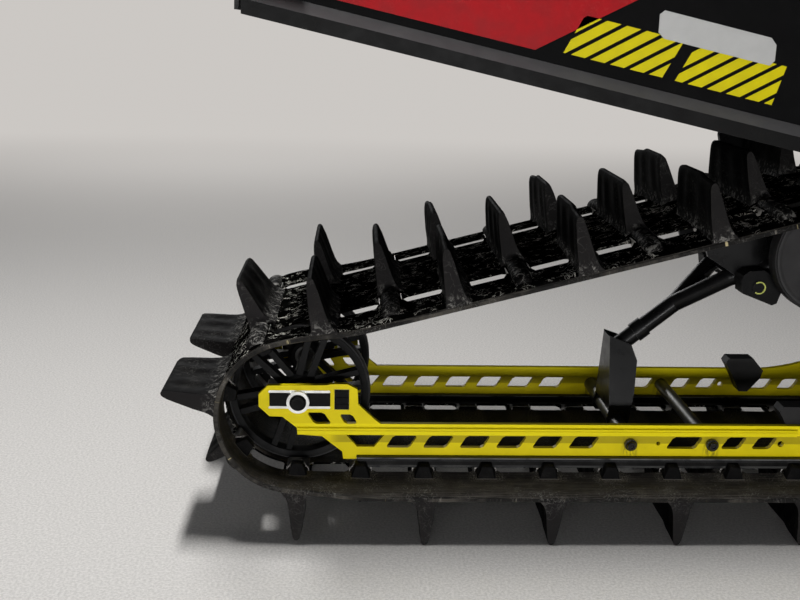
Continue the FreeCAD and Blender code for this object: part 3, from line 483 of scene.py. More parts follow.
def make_materials(colours):
    """Every finish of the module, kept under its name with underscores."""
    def made(name, *rest, **more):
        MATERIALS[name.replace(" ", "_")] = finish(name, *rest, **more)

    shafts = [(middle(node).x, middle(node).z) for node in SHAFTS]
    made("track rubber", colours.rubber, 0.62, tone=0.35, bump=0.22, broad=70.0, shine=0.02,
         dust=(0.07, PALE_DUST, 22.0), wear=(0.40, (0.085, 0.08, 0.075), 0.0009),
         hairs=(0.14, SCUFF, 52.0), extra=lug_tones)
    made("belt outside", (0.0013, 0.0013, 0.0012), 0.62, tone=0.35, bump=0.32, broad=90.0,
         shine=0.0, dust=(0.04, PALE_DUST, 30.0), wear=(0.40, (0.095, 0.09, 0.085), 0.0008),
         extra=fibres)
    made("belt inside", (0.0190, 0.0170, 0.0150), 0.6, tone=0.3, bump=0.3, broad=60.0, shine=0.12,
         dust=(0.25, (0.30, 0.27, 0.22), 34.0), hairs=(0.35, SCUFF, 70.0),
         extra=belt_streaks)
    made("drive rubber", (0.0026, 0.0025, 0.0026), 0.6, tone=0.25, bump=0.10, shine=0.08,
         dust=(0.10, PALE_DUST, 40.0), wear=(0.35, (0.07, 0.07, 0.065), 0.0006))
    made("clip steel", (0.26, 0.25, 0.235), 0.40, metallic=1.0, bump=0.2, broad=160.0,
         dust=(0.4, (0.10, 0.095, 0.085), 60.0), wear=(0.6, (0.6, 0.58, 0.55), 0.0006))
    made("rail yellow", colours.yellow, 0.46, tone=0.05, bump=0.05, broad=25.0, shine=0.15,
         dust=(0.06, (0.22, 0.19, 0.06), 30.0), wear=(0.20, (0.9, 0.82, 0.12), 0.0009),
         extra=bolt_grime_and_ridge_light(shafts))
    made("slider plastic", (0.0095, 0.0098, 0.0105), 0.40, tone=0.3, bump=0.1, shine=0.15,
         dust=(0.12, PALE_DUST, 40.0), wear=(0.4, (0.20, 0.20, 0.21), 0.0007),
         extra=slider_lines)
    made("black paint", colours.black, 0.32, tone=0.2, bump=0.03, coat=0.04, shine=0.16,
         dust=(0.04, PALE_DUST, 30.0), wear=(0.55, (0.30, 0.30, 0.31), 0.0009))
    made("tunnel black", colours.panel, 0.6, tone=0.2, fine=2500.0, bump=0.05, shine=0.05,
         dust=(0.02, PALE_DUST, 14.0), wear=(0.25, (0.10, 0.10, 0.10), 0.0008))
    made("edge grey", colours.edge, 0.5, tone=0.06, fine=2800.0, bump=0.05, shine=0.12,
         dust=(0.04, PALE_DUST, 20.0), wear=(0.35, (0.22, 0.21, 0.22), 0.0008),
         extra=edge_strip_painted_shade)
    made("bare steel", (0.13, 0.13, 0.125), 0.42, metallic=0.8, tone=0.3, bump=0.15,
         dust=(0.35, (0.16, 0.15, 0.13), 60.0), wear=(0.4, (0.5, 0.5, 0.48), 0.0006))
    made("dark bolt", (0.004, 0.0038, 0.004), 0.25, bump=0.08, shine=0.3,
         dust=(0.18, PALE_DUST, 80.0), wear=(0.7, (0.26, 0.26, 0.26), 0.0006))
    made("wheel plastic", (0.0040, 0.0040, 0.0042), 0.5, tone=0.25, bump=0.06, shine=0.10,
         dust=(0.06, PALE_DUST, 30.0), wear=(0.35, (0.10, 0.10, 0.10), 0.0008))
    made("idler plastic", (0.034, 0.033, 0.034), 0.5, tone=0.15, bump=0.06, shine=0.35,
         dust=(0.10, PALE_DUST, 24.0), wear=(0.3, (0.14, 0.14, 0.14), 0.0008))
    made("bare aluminium", (0.62, 0.62, 0.60), 0.34, metallic=0.9, tone=0.1, bump=0.06,
         dust=(0.10, (0.3, 0.3, 0.28), 40.0), wear=(0.4, (0.8, 0.8, 0.78), 0.0005))
    made("black rubber", (0.0085, 0.008, 0.0085), 0.55, tone=0.25, bump=0.15, shine=0.35,
         dust=(0.10, PALE_DUST, 30.0), wear=(0.4, (0.085, 0.08, 0.085), 0.0012))
    made("lamp red", (0.40, 0.006, 0.008), 0.12, tone=0.1, bump=0.0, coat=1.0, broad=60.0)
    made("sticker yellow", (0.72, 0.62, 0.002), 0.45, tone=0.05, bump=0.02, shine=0.1)
    made("sticker red", colours.red, 0.45, tone=0.12, bump=0.03, shine=0.1,
         hairs=(0.12, (0.6, 0.12, 0.10), 55.0))
    made("sticker white", (0.50, 0.50, 0.49), 0.36, tone=0.03, bump=0.02, shine=0.3)
    made("ring green", (0.46, 0.50, 0.10), 0.4, tone=0.1)
    made("plain black", (0.0028, 0.0027, 0.0028), 0.5, tone=0.15, bump=0.05, shine=0.08,
         dust=(0.10, PALE_DUST, 70.0))


# ---- meshes ------------------------------------------------------------------------------------
def as_object(name, mesh):
    made = bpy.data.objects.new(name, mesh)
    bpy.context.scene.collection.objects.link(made)
    return made


def mesh_of(name, verts, faces, smooth=40.0):
    mesh = bpy.data.meshes.new(name)
    mesh.from_pydata([tuple(v) for v in verts], [], faces)
    mesh.validate()
    soften(mesh, smooth)
    return mesh


def soften(mesh, degrees):
    """Smooth shading with sharp edges above the angle."""
    mesh.shade_smooth()
    mesh.set_sharp_from_angle(angle=math.radians(degrees))


def joined_mesh(name, parts, smooth=40.0):
    """One mesh from (verts, faces) parts."""
    verts, faces = [], []
    for more_verts, more_faces in parts:
        start = len(verts)
        verts += [tuple(v) for v in more_verts]
        faces += [tuple(i + start for i in face) for face in more_faces]
    return mesh_of(name, verts, faces, smooth)


def mirror(sign):
    """Leaves +1 as it is and turns -1 over to the vehicle's right."""
    return Matrix.Scale(sign, 4, (0, 1, 0))


def moved(part, matrix):
    """A part turned and moved; a mirrored one keeps its faces outwards."""
    verts, faces = part
    flip = matrix.to_3x3().determinant() < 0
    return [matrix @ Vector(v) for v in verts], [tuple(reversed(f)) if flip else f for f in faces]


def prism(points, y0, y1, bevel=0.0):
    """Outline in XZ, given anticlockwise as seen from -Y, drawn out from y0 to y1, corners eased by bevel."""
    count = len(points)
    centre = Vector((sum(p[0] for p in points) / count, sum(p[1] for p in points) / count))
    inner = [Vector(p) + (centre - Vector(p)).normalized() * bevel for p in points]
    rings = [(y0, inner), (y0 + bevel, points), (y1 - bevel, points), (y1, inner)] if bevel else \
        [(y0, points), (y1, points)]
    verts = [(p[0], y, p[1]) for y, ring in rings for p in ring]
    faces = [tuple(range(count)), tuple(reversed(range(len(verts) - count, len(verts))))]
    for r in range(len(rings) - 1):
        for i in range(count):
            j = (i + 1) % count
            faces.append((r * count + j, r * count + i, (r + 1) * count + i, (r + 1) * count + j))
    return verts, faces


def turned(profile, count, closed=False):
    """Profile of (radius, y) swept round the Y axis; its ends close onto the axis where the radius is 0."""
    verts, faces = [], []
    for r, y in profile:
        verts += [(r * math.cos(2 * math.pi * i / count), y, r * math.sin(2 * math.pi * i / count))
                  for i in range(count)]
    rows = len(profile) if closed else len(profile) - 1
    for k in range(rows):
        a, b = k * count, (k + 1) % len(profile) * count
        for i in range(count):
            j = (i + 1) % count
            faces.append((a + i, a + j, b + j, b + i))
    made = bmesh.new()
    points = [made.verts.new(v) for v in verts]
    for face in faces:
        made.faces.new([points[i] for i in face])
    bmesh.ops.remove_doubles(made, verts=made.verts, dist=SAME)
    bmesh.ops.dissolve_degenerate(made, edges=made.edges, dist=1e-7)
    bmesh.ops.recalc_face_normals(made, faces=made.faces)
    made.verts.index_update()
    part = [v.co.copy() for v in made.verts], [tuple(v.index for v in f.verts) for f in made.faces]
    made.free()
    return part


def bolt_part(r, height):
    """Round bolt head along +Y with a recess, and its washer."""
    head = turned([(0.0, 0.0), (r, 0.0), (r, height * 0.6), (r * 0.78, height), (r * 0.42, height),
                   (r * 0.36, height * 0.55), (0.0, height * 0.5)], 24)
    washer = turned([(0.0, 0.0), (r * 1.25, 0.0), (r * 1.25, height * 0.18), (r * 0.9, height * 0.2)], 24)
    return head, washer


def put(name, mesh, material, replaced=()):
    """The finished piece: material, body and the nodes it stands for."""
    made = as_object(name, mesh)
    mesh.materials.clear()
    mesh.materials.append(MATERIALS[material])
    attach(made, BODY)
    if replaced:
        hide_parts(*replaced)
    return made


def put_parts(name, parts, matrix, material, replaced=(), smooth=40.0):
    """The parts, turned and moved together, as one finished piece."""
    mesh = joined_mesh(name, [moved(part, matrix) for part in parts], smooth)
    return put(name, mesh, material, replaced)


# ---- geometry nodes ----------------------------------------------------------------------------
def geometry_tree(name, inputs):
    tree = bpy.data.node_groups.new(name, "GeometryNodeTree")
    tree.interface.new_socket("Geometry", in_out="INPUT", socket_type="NodeSocketGeometry")
    add_inputs(tree, inputs)
    tree.interface.new_socket("Geometry", in_out="OUTPUT", socket_type="NodeSocketGeometry")
    return tree, tree.nodes.new("NodeGroupInput").outputs


def close_tree(tree, geometry, material):
    real = add(tree, "GeometryNodeRealizeInstances", {"Geometry": geometry})
    painted = add(tree, "GeometryNodeSetMaterial", {"Geometry": real.outputs[0], "Material": material})
    add(tree, "NodeGroupOutput", {"Geometry": painted.outputs[0]})
    return tree


def bars_tree():
    """A piece on every second, or on every, bar of the track; the points carry the bar's turn about Y."""
    tree, given = geometry_tree("On the bars", (("Piece", "Object", None), ("Every", "Int", 2),
                                                ("From", "Int", 0), ("Finish", "Material", None)))
    number = add(tree, "GeometryNodeInputIndex").outputs[0]
    left = math_node(tree, "FLOORED_MODULO", number, given["Every"])
    chosen = add(tree, "FunctionNodeCompare", data_type="FLOAT", operation="EQUAL")
    tree.links.new(left, chosen.inputs[0])
    tree.links.new(given["From"], chosen.inputs[1])
    turn = add(tree, "GeometryNodeInputNamedAttribute", {"Name": "turn"}, data_type="FLOAT_VECTOR").outputs[0]
    piece = add(tree, "GeometryNodeObjectInfo", {"Object": given["Piece"]}).outputs["Geometry"]
    spread = add(tree, "GeometryNodeInstanceOnPoints",
                 {"Points": given["Geometry"], "Selection": chosen.outputs[0], "Instance": piece})
    turned_all = add(tree, "GeometryNodeRotateInstances", {"Instances": spread.outputs[0], "Rotation": turn,
                                                           "Local Space": True})
    return close_tree(tree, turned_all.outputs[0], given["Finish"])


def ring_tree():
    """The piece repeated round an axis along Y through a centre."""
    tree, given = geometry_tree("Ring", (("Piece", "Object", None), ("Count", "Int", 6),
                                         ("Centre", "Vector", (0, 0, 0)), ("Start", "Float", 0.0),
                                         ("Finish", "Material", None)))
    line = add(tree, "GeometryNodeMeshLine", {"Count": given["Count"], "Start Location": given["Centre"],
                                              "Offset": (0, 0, 0)}, mode="OFFSET")
    piece = add(tree, "GeometryNodeObjectInfo", {"Object": given["Piece"]}).outputs["Geometry"]
    number = add(tree, "GeometryNodeInputIndex").outputs[0]
    step = math_node(tree, "DIVIDE", 2 * math.pi, given["Count"])
    angle = math_node(tree, "MULTIPLY_ADD", number, step, given["Start"])
    turn = add(tree, "ShaderNodeCombineXYZ", {"Y": angle}).outputs[0]
    spread = add(tree, "GeometryNodeInstanceOnPoints", {"Points": line.outputs[0], "Instance": piece,
                                                        "Rotation": turn})
    return close_tree(tree, spread.outputs[0], given["Finish"])


TREES = {}


def repeated(kind, name, piece, material, slot, carrier=None, smooth=40.0, **inputs):
    """Piece repeated by the ring or bars tree, as one plain mesh; carrier holds the points of the bars."""
    if kind not in TREES:
        TREES[kind] = {"bars": bars_tree, "ring": ring_tree}[kind]()
    tree = TREES[kind]
    source = as_object("source", piece)
    holder = as_object("holder", carrier or bpy.data.meshes.new("empty"))
    modifier = holder.modifiers.new("repeat", "NODES")
    modifier.node_group = tree
    values = {"Piece": source, "Finish": MATERIALS[material]}
    values.update({key.capitalize(): value for key, value in inputs.items()})
    for item in tree.interface.items_tree:
        if item.in_out == "INPUT" and item.name in values:
            modifier[item.identifier] = values[item.name]
    graph = bpy.context.evaluated_depsgraph_get()
    graph.update()
    mesh = bpy.data.meshes.new_from_object(holder.evaluated_get(graph))
    mesh.name = name
    bpy.data.objects.remove(holder)
    bpy.data.objects.remove(source)
    soften(mesh, smooth)
    return put(name, mesh, material)


# ---- the belt's path ---------------------------------------------------------------------------
class BeltPath:
    """The belt's inner face: straight and round stretches, from under the rear axle forward."""

    def __init__(self, sizes):
        self.length = sizes.pitch * sizes.bars
        inner = AXLE_Z - REAR_WHEEL_R - RUN
        circles = ((AXLE_X, AXLE_Z, REAR_WHEEL_R + RUN),
                   (DRIVE_X - sizes.bend_back, inner + sizes.bend_radius, sizes.bend_radius),
                   (DRIVE_X, DRIVE_Z, sizes.teeth * sizes.pitch / (2 * math.pi)),
                   (IDLER_X, IDLER_Z, IDLER_R + RUN))
        pairs = list(zip(circles, circles[1:] + circles[:1]))
        normals, lengths = [], []
        for (ax, az, ar), (bx, bz, br) in pairs:
            reach = math.hypot(bx - ax, bz - az)
            normals.append(math.atan2(bz - az, bx - ax) - math.pi / 2 + math.asin((ar - br) / reach))
            lengths.append(math.sqrt(reach ** 2 - (ar - br) ** 2))
        self.stretches = []
        for i, ((ax, az, ar), (bx, bz, br)) in enumerate(pairs):
            n = normals[i]
            turn = (normals[(i + 1) % 4] - n) % (2 * math.pi)
            self.stretches.append((lengths[i], ax + ar * math.cos(n), az + ar * math.sin(n), n, 0.0))
            self.stretches.append((br * turn, bx, bz, n, br))
        total = sum(stretch[0] for stretch in self.stretches)
        self.scale = total / self.length

    def at(self, s):
        """x, z and the outward normal's angle at distance s."""
        s = (s % self.length) * self.scale
        for span, x, z, n, r in self.stretches:
            if s <= span:
                break
            s -= span
        s = min(s, span)
        if r == 0:
            return x - math.sin(n) * s, z + math.cos(n) * s, n
        n += s / r
        return x + r * math.cos(n), z + r * math.sin(n), n

    def place(self, s, y, height):
        x, z, n = self.at(s)
        return x + height * math.cos(n), y, z + height * math.sin(n)


def eased(value, low, high):
    """0 at low and 1 at high, in between smoothly."""
    t = min(1.0, max(0.0, (value - low) / (high - low)))
    return t * t * (3 - 2 * t)


def along(sizes, number):
    """Distance along the path of a bar, or of a place between two; the bars lag on the upper run."""
    half = sizes.bars // 2
    number = (number + half) % sizes.bars - half
    lag = eased(-number, 2.0, 6.0) * (1 - eased(-number, 12.0, 22.0))
    return sizes.first_bar + sizes.pitch * number - sizes.slack * lag


# how far the belt hangs: distance from the middle, and share of the sag at its edge
SAG_PROFILE = ((0.140, 0.0), (DRIVE_LUG_Y[1], 0.36), (RIM[1], 0.61), (0.203, 1.0))
# where the sag sets in ahead of the rear axle, on the bottom and the upper run, and ends at the drive axle
SAG_STARTS, SAG_STARTS_ABOVE, SAG_ENDS = (-0.03, 0.12), (-0.02, 0.10), (-0.04, 0.11)
# lowest height that the sag may reach
FLOOR_GAP = 0.00005


def sag_share(y):
    y = abs(y)
    for (y0, a), (y1, b) in zip(SAG_PROFILE, SAG_PROFILE[1:]):
        if y < y1:
            return a + (b - a) * max(0.0, y - y0) / (y1 - y0)
    return 1.0


def hang(mesh, sizes):
    """Lets the free edges of the belt, and all that stands on them, sag between the wheels and sprockets."""
    for vertex in mesh.vertices:
        x, y, z = vertex.co
        start, full = SAG_STARTS_ABOVE if z > AXLE_Z else SAG_STARTS
        free = eased(x, AXLE_X + start, AXLE_X + full)
        free *= 1 - eased(x, DRIVE_X + SAG_ENDS[0], DRIVE_X + SAG_ENDS[1])
        vertex.co.z = max(z - sizes.sag * free * sag_share(y), min(z, FLOOR_GAP))


def bar_points(path, sizes, height):
    """Carrier for the bars tree: a point per bar, with its turn, and the place of an even bar among them."""
    half = sizes.bars // 2
    order = list(range(-half, sizes.bars - half))
    mesh = bpy.data.meshes.new("bars")
    mesh.from_pydata([path.place(along(sizes, bar), 0.0, height) for bar in order], [], [])
    turns = mesh.attributes.new("turn", "FLOAT_VECTOR", "POINT")
    for i, bar in enumerate(order):
        n = path.at(along(sizes, bar))[2]
        turns.data[i].vector = (0.0, math.pi / 2 - n, 0.0)
    return mesh, half % 2


def on_bars(sizes, name, piece, material, height, every=1, offset=0, smooth=40.0):
    """The piece at a height over every bar, or every second one from bar offset, hung with the belt."""
    points, even = bar_points(BeltPath(sizes), sizes, height)
    made = repeated("bars", name, piece, material, "track_rubber", carrier=points, smooth=smooth,
                    every=every, **{"from": (even + offset) % every})
    hang(made.data, sizes)


# ---- track -------------------------------------------------------------------------------------
# lug's section: back along the belt and above it, mm, from its full face over the tip to its hollow face
LUG_SECTION = ((-19, -6), (-17.6, -2.5), (-15.6, 2.5), (-14.3, 9), (-12.9, 24), (-10.8, 38), (-8.6, 52),
               (-7.0, 61), (-5.4, 66.5), (-3.4, 69.8), (-0.8, 71), (1.8, 70.4), (3.9, 67), (5.8, 54),
               (7.2, 40), (8.6, 25), (10.6, 12), (13.4, 4), (17.5, -1.5), (20.5, -5), (21, -6))
LUG_TOP = 71.0
# ribs on the lug's broad faces: share of its width, and how far they stand out, mm
LUG_RIBS = ((0.0, 0.0), (0.03, 0.8), (0.10, 0.8), (0.13, -0.8), (0.24, -0.8), (0.27, 0.9), (0.37, 0.9),
            (0.40, -0.9), (0.60, -0.9), (0.63, 0.9), (0.73, 0.9), (0.76, -0.8), (0.87, -0.8), (0.90, 0.8),
            (0.97, 0.8), (1.0, 0.0))


def lug_mesh(name, foot, tip, full, low_end, height):
    """Lug between y foot[0] and foot[1] at the belt and tip[0], tip[1] at the top, mm.

    Its top is level over the range full and drops to the share low_end of the height at its ends.
    """
    verts, roots = [], []
    scale = height / (LUG_TOP * MM)
    for share, rib in LUG_RIBS:
        for x, h in LUG_SECTION:
            up = max(h, 0.0) / LUG_TOP
            y0, y1 = (a + (b - a) * up for a, b in zip(foot, tip))
            y = y0 * (1 - share) + y1 * share
            past = max(full[0] - y, y - full[1], 0.0) / 40.0
            drop = 1 - (1 - low_end) * min(1.0, past) ** 1.5
            side = -1 if x < 1.2 else 1
            shift = rib * side * min(1.0, max(0.0, (h - 6) / 14)) * min(1.0, max(0.0, (68 - h) / 12))
            verts.append(((x + shift) * MM, y * MM, (h * drop * scale if h > 0 else h) * MM))
            roots.append(up)
    n, rows = len(LUG_SECTION), len(LUG_RIBS)
    faces = [tuple(range(n)), tuple(reversed(range(n * (rows - 1), n * rows)))]
    for r in range(rows - 1):
        for i in range(n - 1):
            a = r * n + i
            faces.append((a, a + n, a + n + 1, a + 1))
    mesh = mesh_of(name, verts, faces, 28.0)
    values = mesh.attributes.new("root", "FLOAT", "POINT")
    for i, up in enumerate(roots):
        values.data[i].value = up
    return mesh


def merged(meshes, name):
    """One mesh from several; keeps the root attribute."""
    made = bmesh.new()
    for mesh in meshes:
        made.from_mesh(mesh)
    mesh = bpy.data.meshes.new(name)
    made.to_mesh(mesh)
    made.free()
    return mesh


def mirrored_mesh(mesh):
    copy = mesh.copy()
    copy.transform(mirror(-1))
    copy.flip_normals()
    return copy


def hump_part(y0, y1, half, height):
    """Low rounded ridge over a bar, along Y, with its foot sunk into the bar."""
    sunk = 0.003
    arc = [math.pi * i / 8 for i in range(9)]
    verts = []
    for share, size in ((0.0, 0.0), (0.06, 0.6), (0.16, 1.0), (0.84, 1.0), (0.94, 0.6), (1.0, 0.0)):
        wide = half * (0.78 + 0.22 * size)
        verts += [(math.cos(a) * -wide, y0 + (y1 - y0) * share,
                   -sunk + (height * size + sunk) * math.sin(a) ** 0.7) for a in arc]
    faces = [(a, a + 9, a + 10, a + 1) for a in (r * 9 + i for r in range(5) for i in range(8))]
    return verts, faces


class MODULE_OT_belt(bpy.types.Operator):
    """Belt with its windows, worn inside and scuffed outside"""
    bl_idname = "module.belt"
    bl_label = "Belt"

    def execute(self, context):
        sizes = context.scene.module_track
        path = BeltPath(sizes)
        gap = (sizes.pitch - sizes.window_length) / 2
        ease = 0.008
        inside = sizes.pitch - 2 * gap
        marks = [0.0, gap / 2, gap, gap + ease]
        marks += [gap + ease + (inside - 2 * ease) * i / 6 for i in range(1, 6)]
        marks += [sizes.pitch - gap - ease, sizes.pitch - gap, sizes.pitch - gap / 2]
        half, chamfer = sizes.width / 2, 0.0015
        side = [0.0, 0.055, sizes.window_in, sizes.window_in + ease, sizes.window_out - ease,
                sizes.window_out, DRIVE_LUG_Y[1], *RIM, half - chamfer]
        columns = [-y for y in reversed(side[1:])] + side
        rows = [along(sizes, bar + mark / sizes.pitch) for bar in range(sizes.bars) for mark in marks]
        wide, tall, each = len(columns), len(rows), len(marks)

        def outer(row, y):
            """The belt's thickness there: most at the bars, even along the edges."""
            mark = marks[row % each]
            off_bar = eased(min(mark, sizes.pitch - mark), gap * 0.7, gap + ease)
            rim = eased(abs(y), *RIM)
            by_window = 1.0 if sizes.window_in - SAME <= abs(y) <= sizes.window_out + SAME else 0.0
            thinned = off_bar * (1 - rim) * (1 + 0.5 * by_window) + 0.55 * rim
            return sizes.thickness - sizes.thinner * thinned

        top = []
        for r in range(tall):
            for c in range(wide - 1):
                mark = r % each
                y = sorted((abs(columns[c]), abs(columns[c + 1])))
                in_window = y[0] >= sizes.window_in - SAME and y[1] <= sizes.window_out + SAME
                a, b = r * wide + c, (r + 1) % tall * wide + c
                corners = [a, b, b + 1, a + 1]
                if in_window and 3 <= mark <= 8:
                    continue
                if in_window and mark in (2, 9):
                    if abs(y[0] - sizes.window_in - ease) < SAME:
                        continue
                    # the corner that lies towards the bar and away from the opening's middle stays
                    window = (sizes.window_in, sizes.window_out)
                    kept = columns[c] if abs(columns[c]) in window else columns[c + 1]
                    drop = [b, b + 1] if mark == 2 else [a, a + 1]
                    near = c if columns[c] == kept else c + 1
                    lost = [v for v in drop if v % wide != near][0]
                    corners.remove(lost)
                top.append(tuple(corners))
        count = tall * wide
        verts = [path.place(s, y, outer(r, y)) for r, s in enumerate(rows) for y in columns]
        verts += [path.place(s, y, 0.0) for s in rows for y in columns]
        used = {}
        for face in top:
            for i, j in zip(face, face[1:] + face[:1]):
                used[(i, j)] = face
        walls = []
        for i, j in used:
            if (j, i) not in used and not (i % wide in (0, wide - 1) and j % wide in (0, wide - 1)):
                walls.append((j, i, i + count, j + count))
        faces = top + walls
        outside = len(faces)
        faces += [tuple(i + count for i in reversed(face)) for face in top]
        rims = len(verts)
        for sign in (-1, 1):
            verts += [path.place(s, sign * half, h) for r, s in enumerate(rows)
                      for h in (outer(r, half) - chamfer, chamfer)]
        for k, (column, sign) in enumerate(((0, -1), (wide - 1, 1))):
            for r in range(tall):
                n = (r + 1) % tall
                a = [r * wide + column, rims + 2 * (k * tall + r), rims + 2 * (k * tall + r) + 1,
                     r * wide + column + count]
                b = [n * wide + column, rims + 2 * (k * tall + n), rims + 2 * (k * tall + n) + 1,
                     n * wide + column + count]
                for t in range(3):
                    quad = (a[t], a[t + 1], b[t + 1], b[t])
                    faces.append(quad if sign < 0 else tuple(reversed(quad)))
        mesh = mesh_of("track_belt_rubber", verts, faces, 35.0)
        mesh.materials.append(MATERIALS["belt_outside"])
        mesh.materials.append(MATERIALS["belt_inside"])
        uv = mesh.uv_layers.new(name="along")
        places = [(s, y) for s in rows for y in columns] * 2
        for sign in (-1, 1):
            places += [(s, sign * half) for s in rows for _ in (0, 1)]
        for polygon in mesh.polygons:
            polygon.material_index = int(polygon.index >= outside)
            around = [places[mesh.loops[i].vertex_index][0] for i in polygon.loop_indices]
            wrap = max(around) - min(around) > path.length / 2
            for i in polygon.loop_indices:
                s, y = places[mesh.loops[i].vertex_index]
                uv.data[i].uv = (s + path.length if wrap and s < path.length / 2 else s, y)
        hang(mesh, sizes)
        made = as_object("track_belt_rubber", mesh)
        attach(made, BODY)
        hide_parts("track_belt")
        return {"FINISHED"}


class MODULE_OT_lugs(bpy.types.Operator):
    """Lugs on the bars: pairs of outer ones and single centre ones in turn"""
    bl_idname = "module.lugs"
    bl_label = "Lugs"

    def execute(self, context):
        sizes = context.scene.module_track
        outer = lug_mesh("outer", (36, 202), (49, 195), (64, 200), 0.86, sizes.lug_height)
        pair = merged([outer, mirrored_mesh(outer)], "lug_pair")
        centre = lug_mesh("centre", (-95, 95), (-76, 76), (-60, 60), 0.90, sizes.lug_height)
        humps = joined_mesh("humps", [hump_part(y0, y1, 0.013, 0.009)
                                      for y0, y1 in ((0.098, 0.192), (-0.192, -0.098))])
        over = sizes.thickness
        on_bars(sizes, "track_lugs_outer", pair, "track_rubber", over, every=2, smooth=28.0)
        on_bars(sizes, "track_lugs_centre", centre, "track_rubber", over, every=2, offset=1, smooth=28.0)
        on_bars(sizes, "track_bar_humps", humps, "track_rubber", over, every=2, offset=1)
        return {"FINISHED"}


class MODULE_OT_drive_lugs(bpy.types.Operator):
    """Drive lugs and steel clips on the belt's inner face"""
    bl_idname = "module.drive_lugs"
    bl_label = "Drive Lugs And Clips"

    def execute(self, context):
        sizes = context.scene.module_track
        lug, clips = [], []
        for sign in (1, -1):
            section = ((-0.0135, 0.002), (0.0135, 0.002), (0.0125, -0.002), (0.0078, -0.0165),
                       (0.0066, -0.0175), (-0.0066, -0.0175), (-0.0078, -0.0165), (-0.0125, -0.002))
            y0, y1 = sorted(sign * y for y in DRIVE_LUG_Y)
            lug.append(prism(section[::-1], y0, y1, 0.001))
            shell = [(-0.0160, 0.008), (-0.0160, -0.0045), (-0.0135, -0.0070), (0.0135, -0.0070),
                     (0.0160, -0.0045), (0.0160, 0.008), (0.0148, 0.008), (0.0148, -0.0040),
                     (0.0130, -0.0058), (-0.0130, -0.0058), (-0.0148, -0.0040), (-0.0148, 0.008)]
            y0, y1 = sorted((sign * 0.109, sign * 0.1405))
            clips.append(prism(shell, y0, y1))
            for edge in (-1, 1):
                flap = [(edge * 0.0160, -0.003), (edge * 0.0085, -0.0135), (edge * 0.0075, -0.0135),
                        (edge * 0.0145, -0.003)]
                flap = flap if edge > 0 else flap[::-1]
                y0, y1 = sorted((sign * 0.1375, sign * 0.1415))
                clips.append(prism(flap[::-1], y0, y1))
        on_bars(sizes, "track_drive_lugs", joined_mesh("drive", lug), "drive_rubber", 0.0)
        on_bars(sizes, "track_clips", joined_mesh("clips", clips), "clip_steel", 0.0)
        return {"FINISHED"}


# ---- rails -------------------------------------------------------------------------------------
def oblong(x0, x1, z0, z1):
    """Corners of an oblong, anticlockwise."""
    return [(x0, z0), (x1, z0), (x1, z1), (x0, z1)]


def by_axle(corners):
    """Corners given from the rear axle, to x and z."""
    return [(AXLE_X + x, AXLE_Z + z) for x, z in corners]


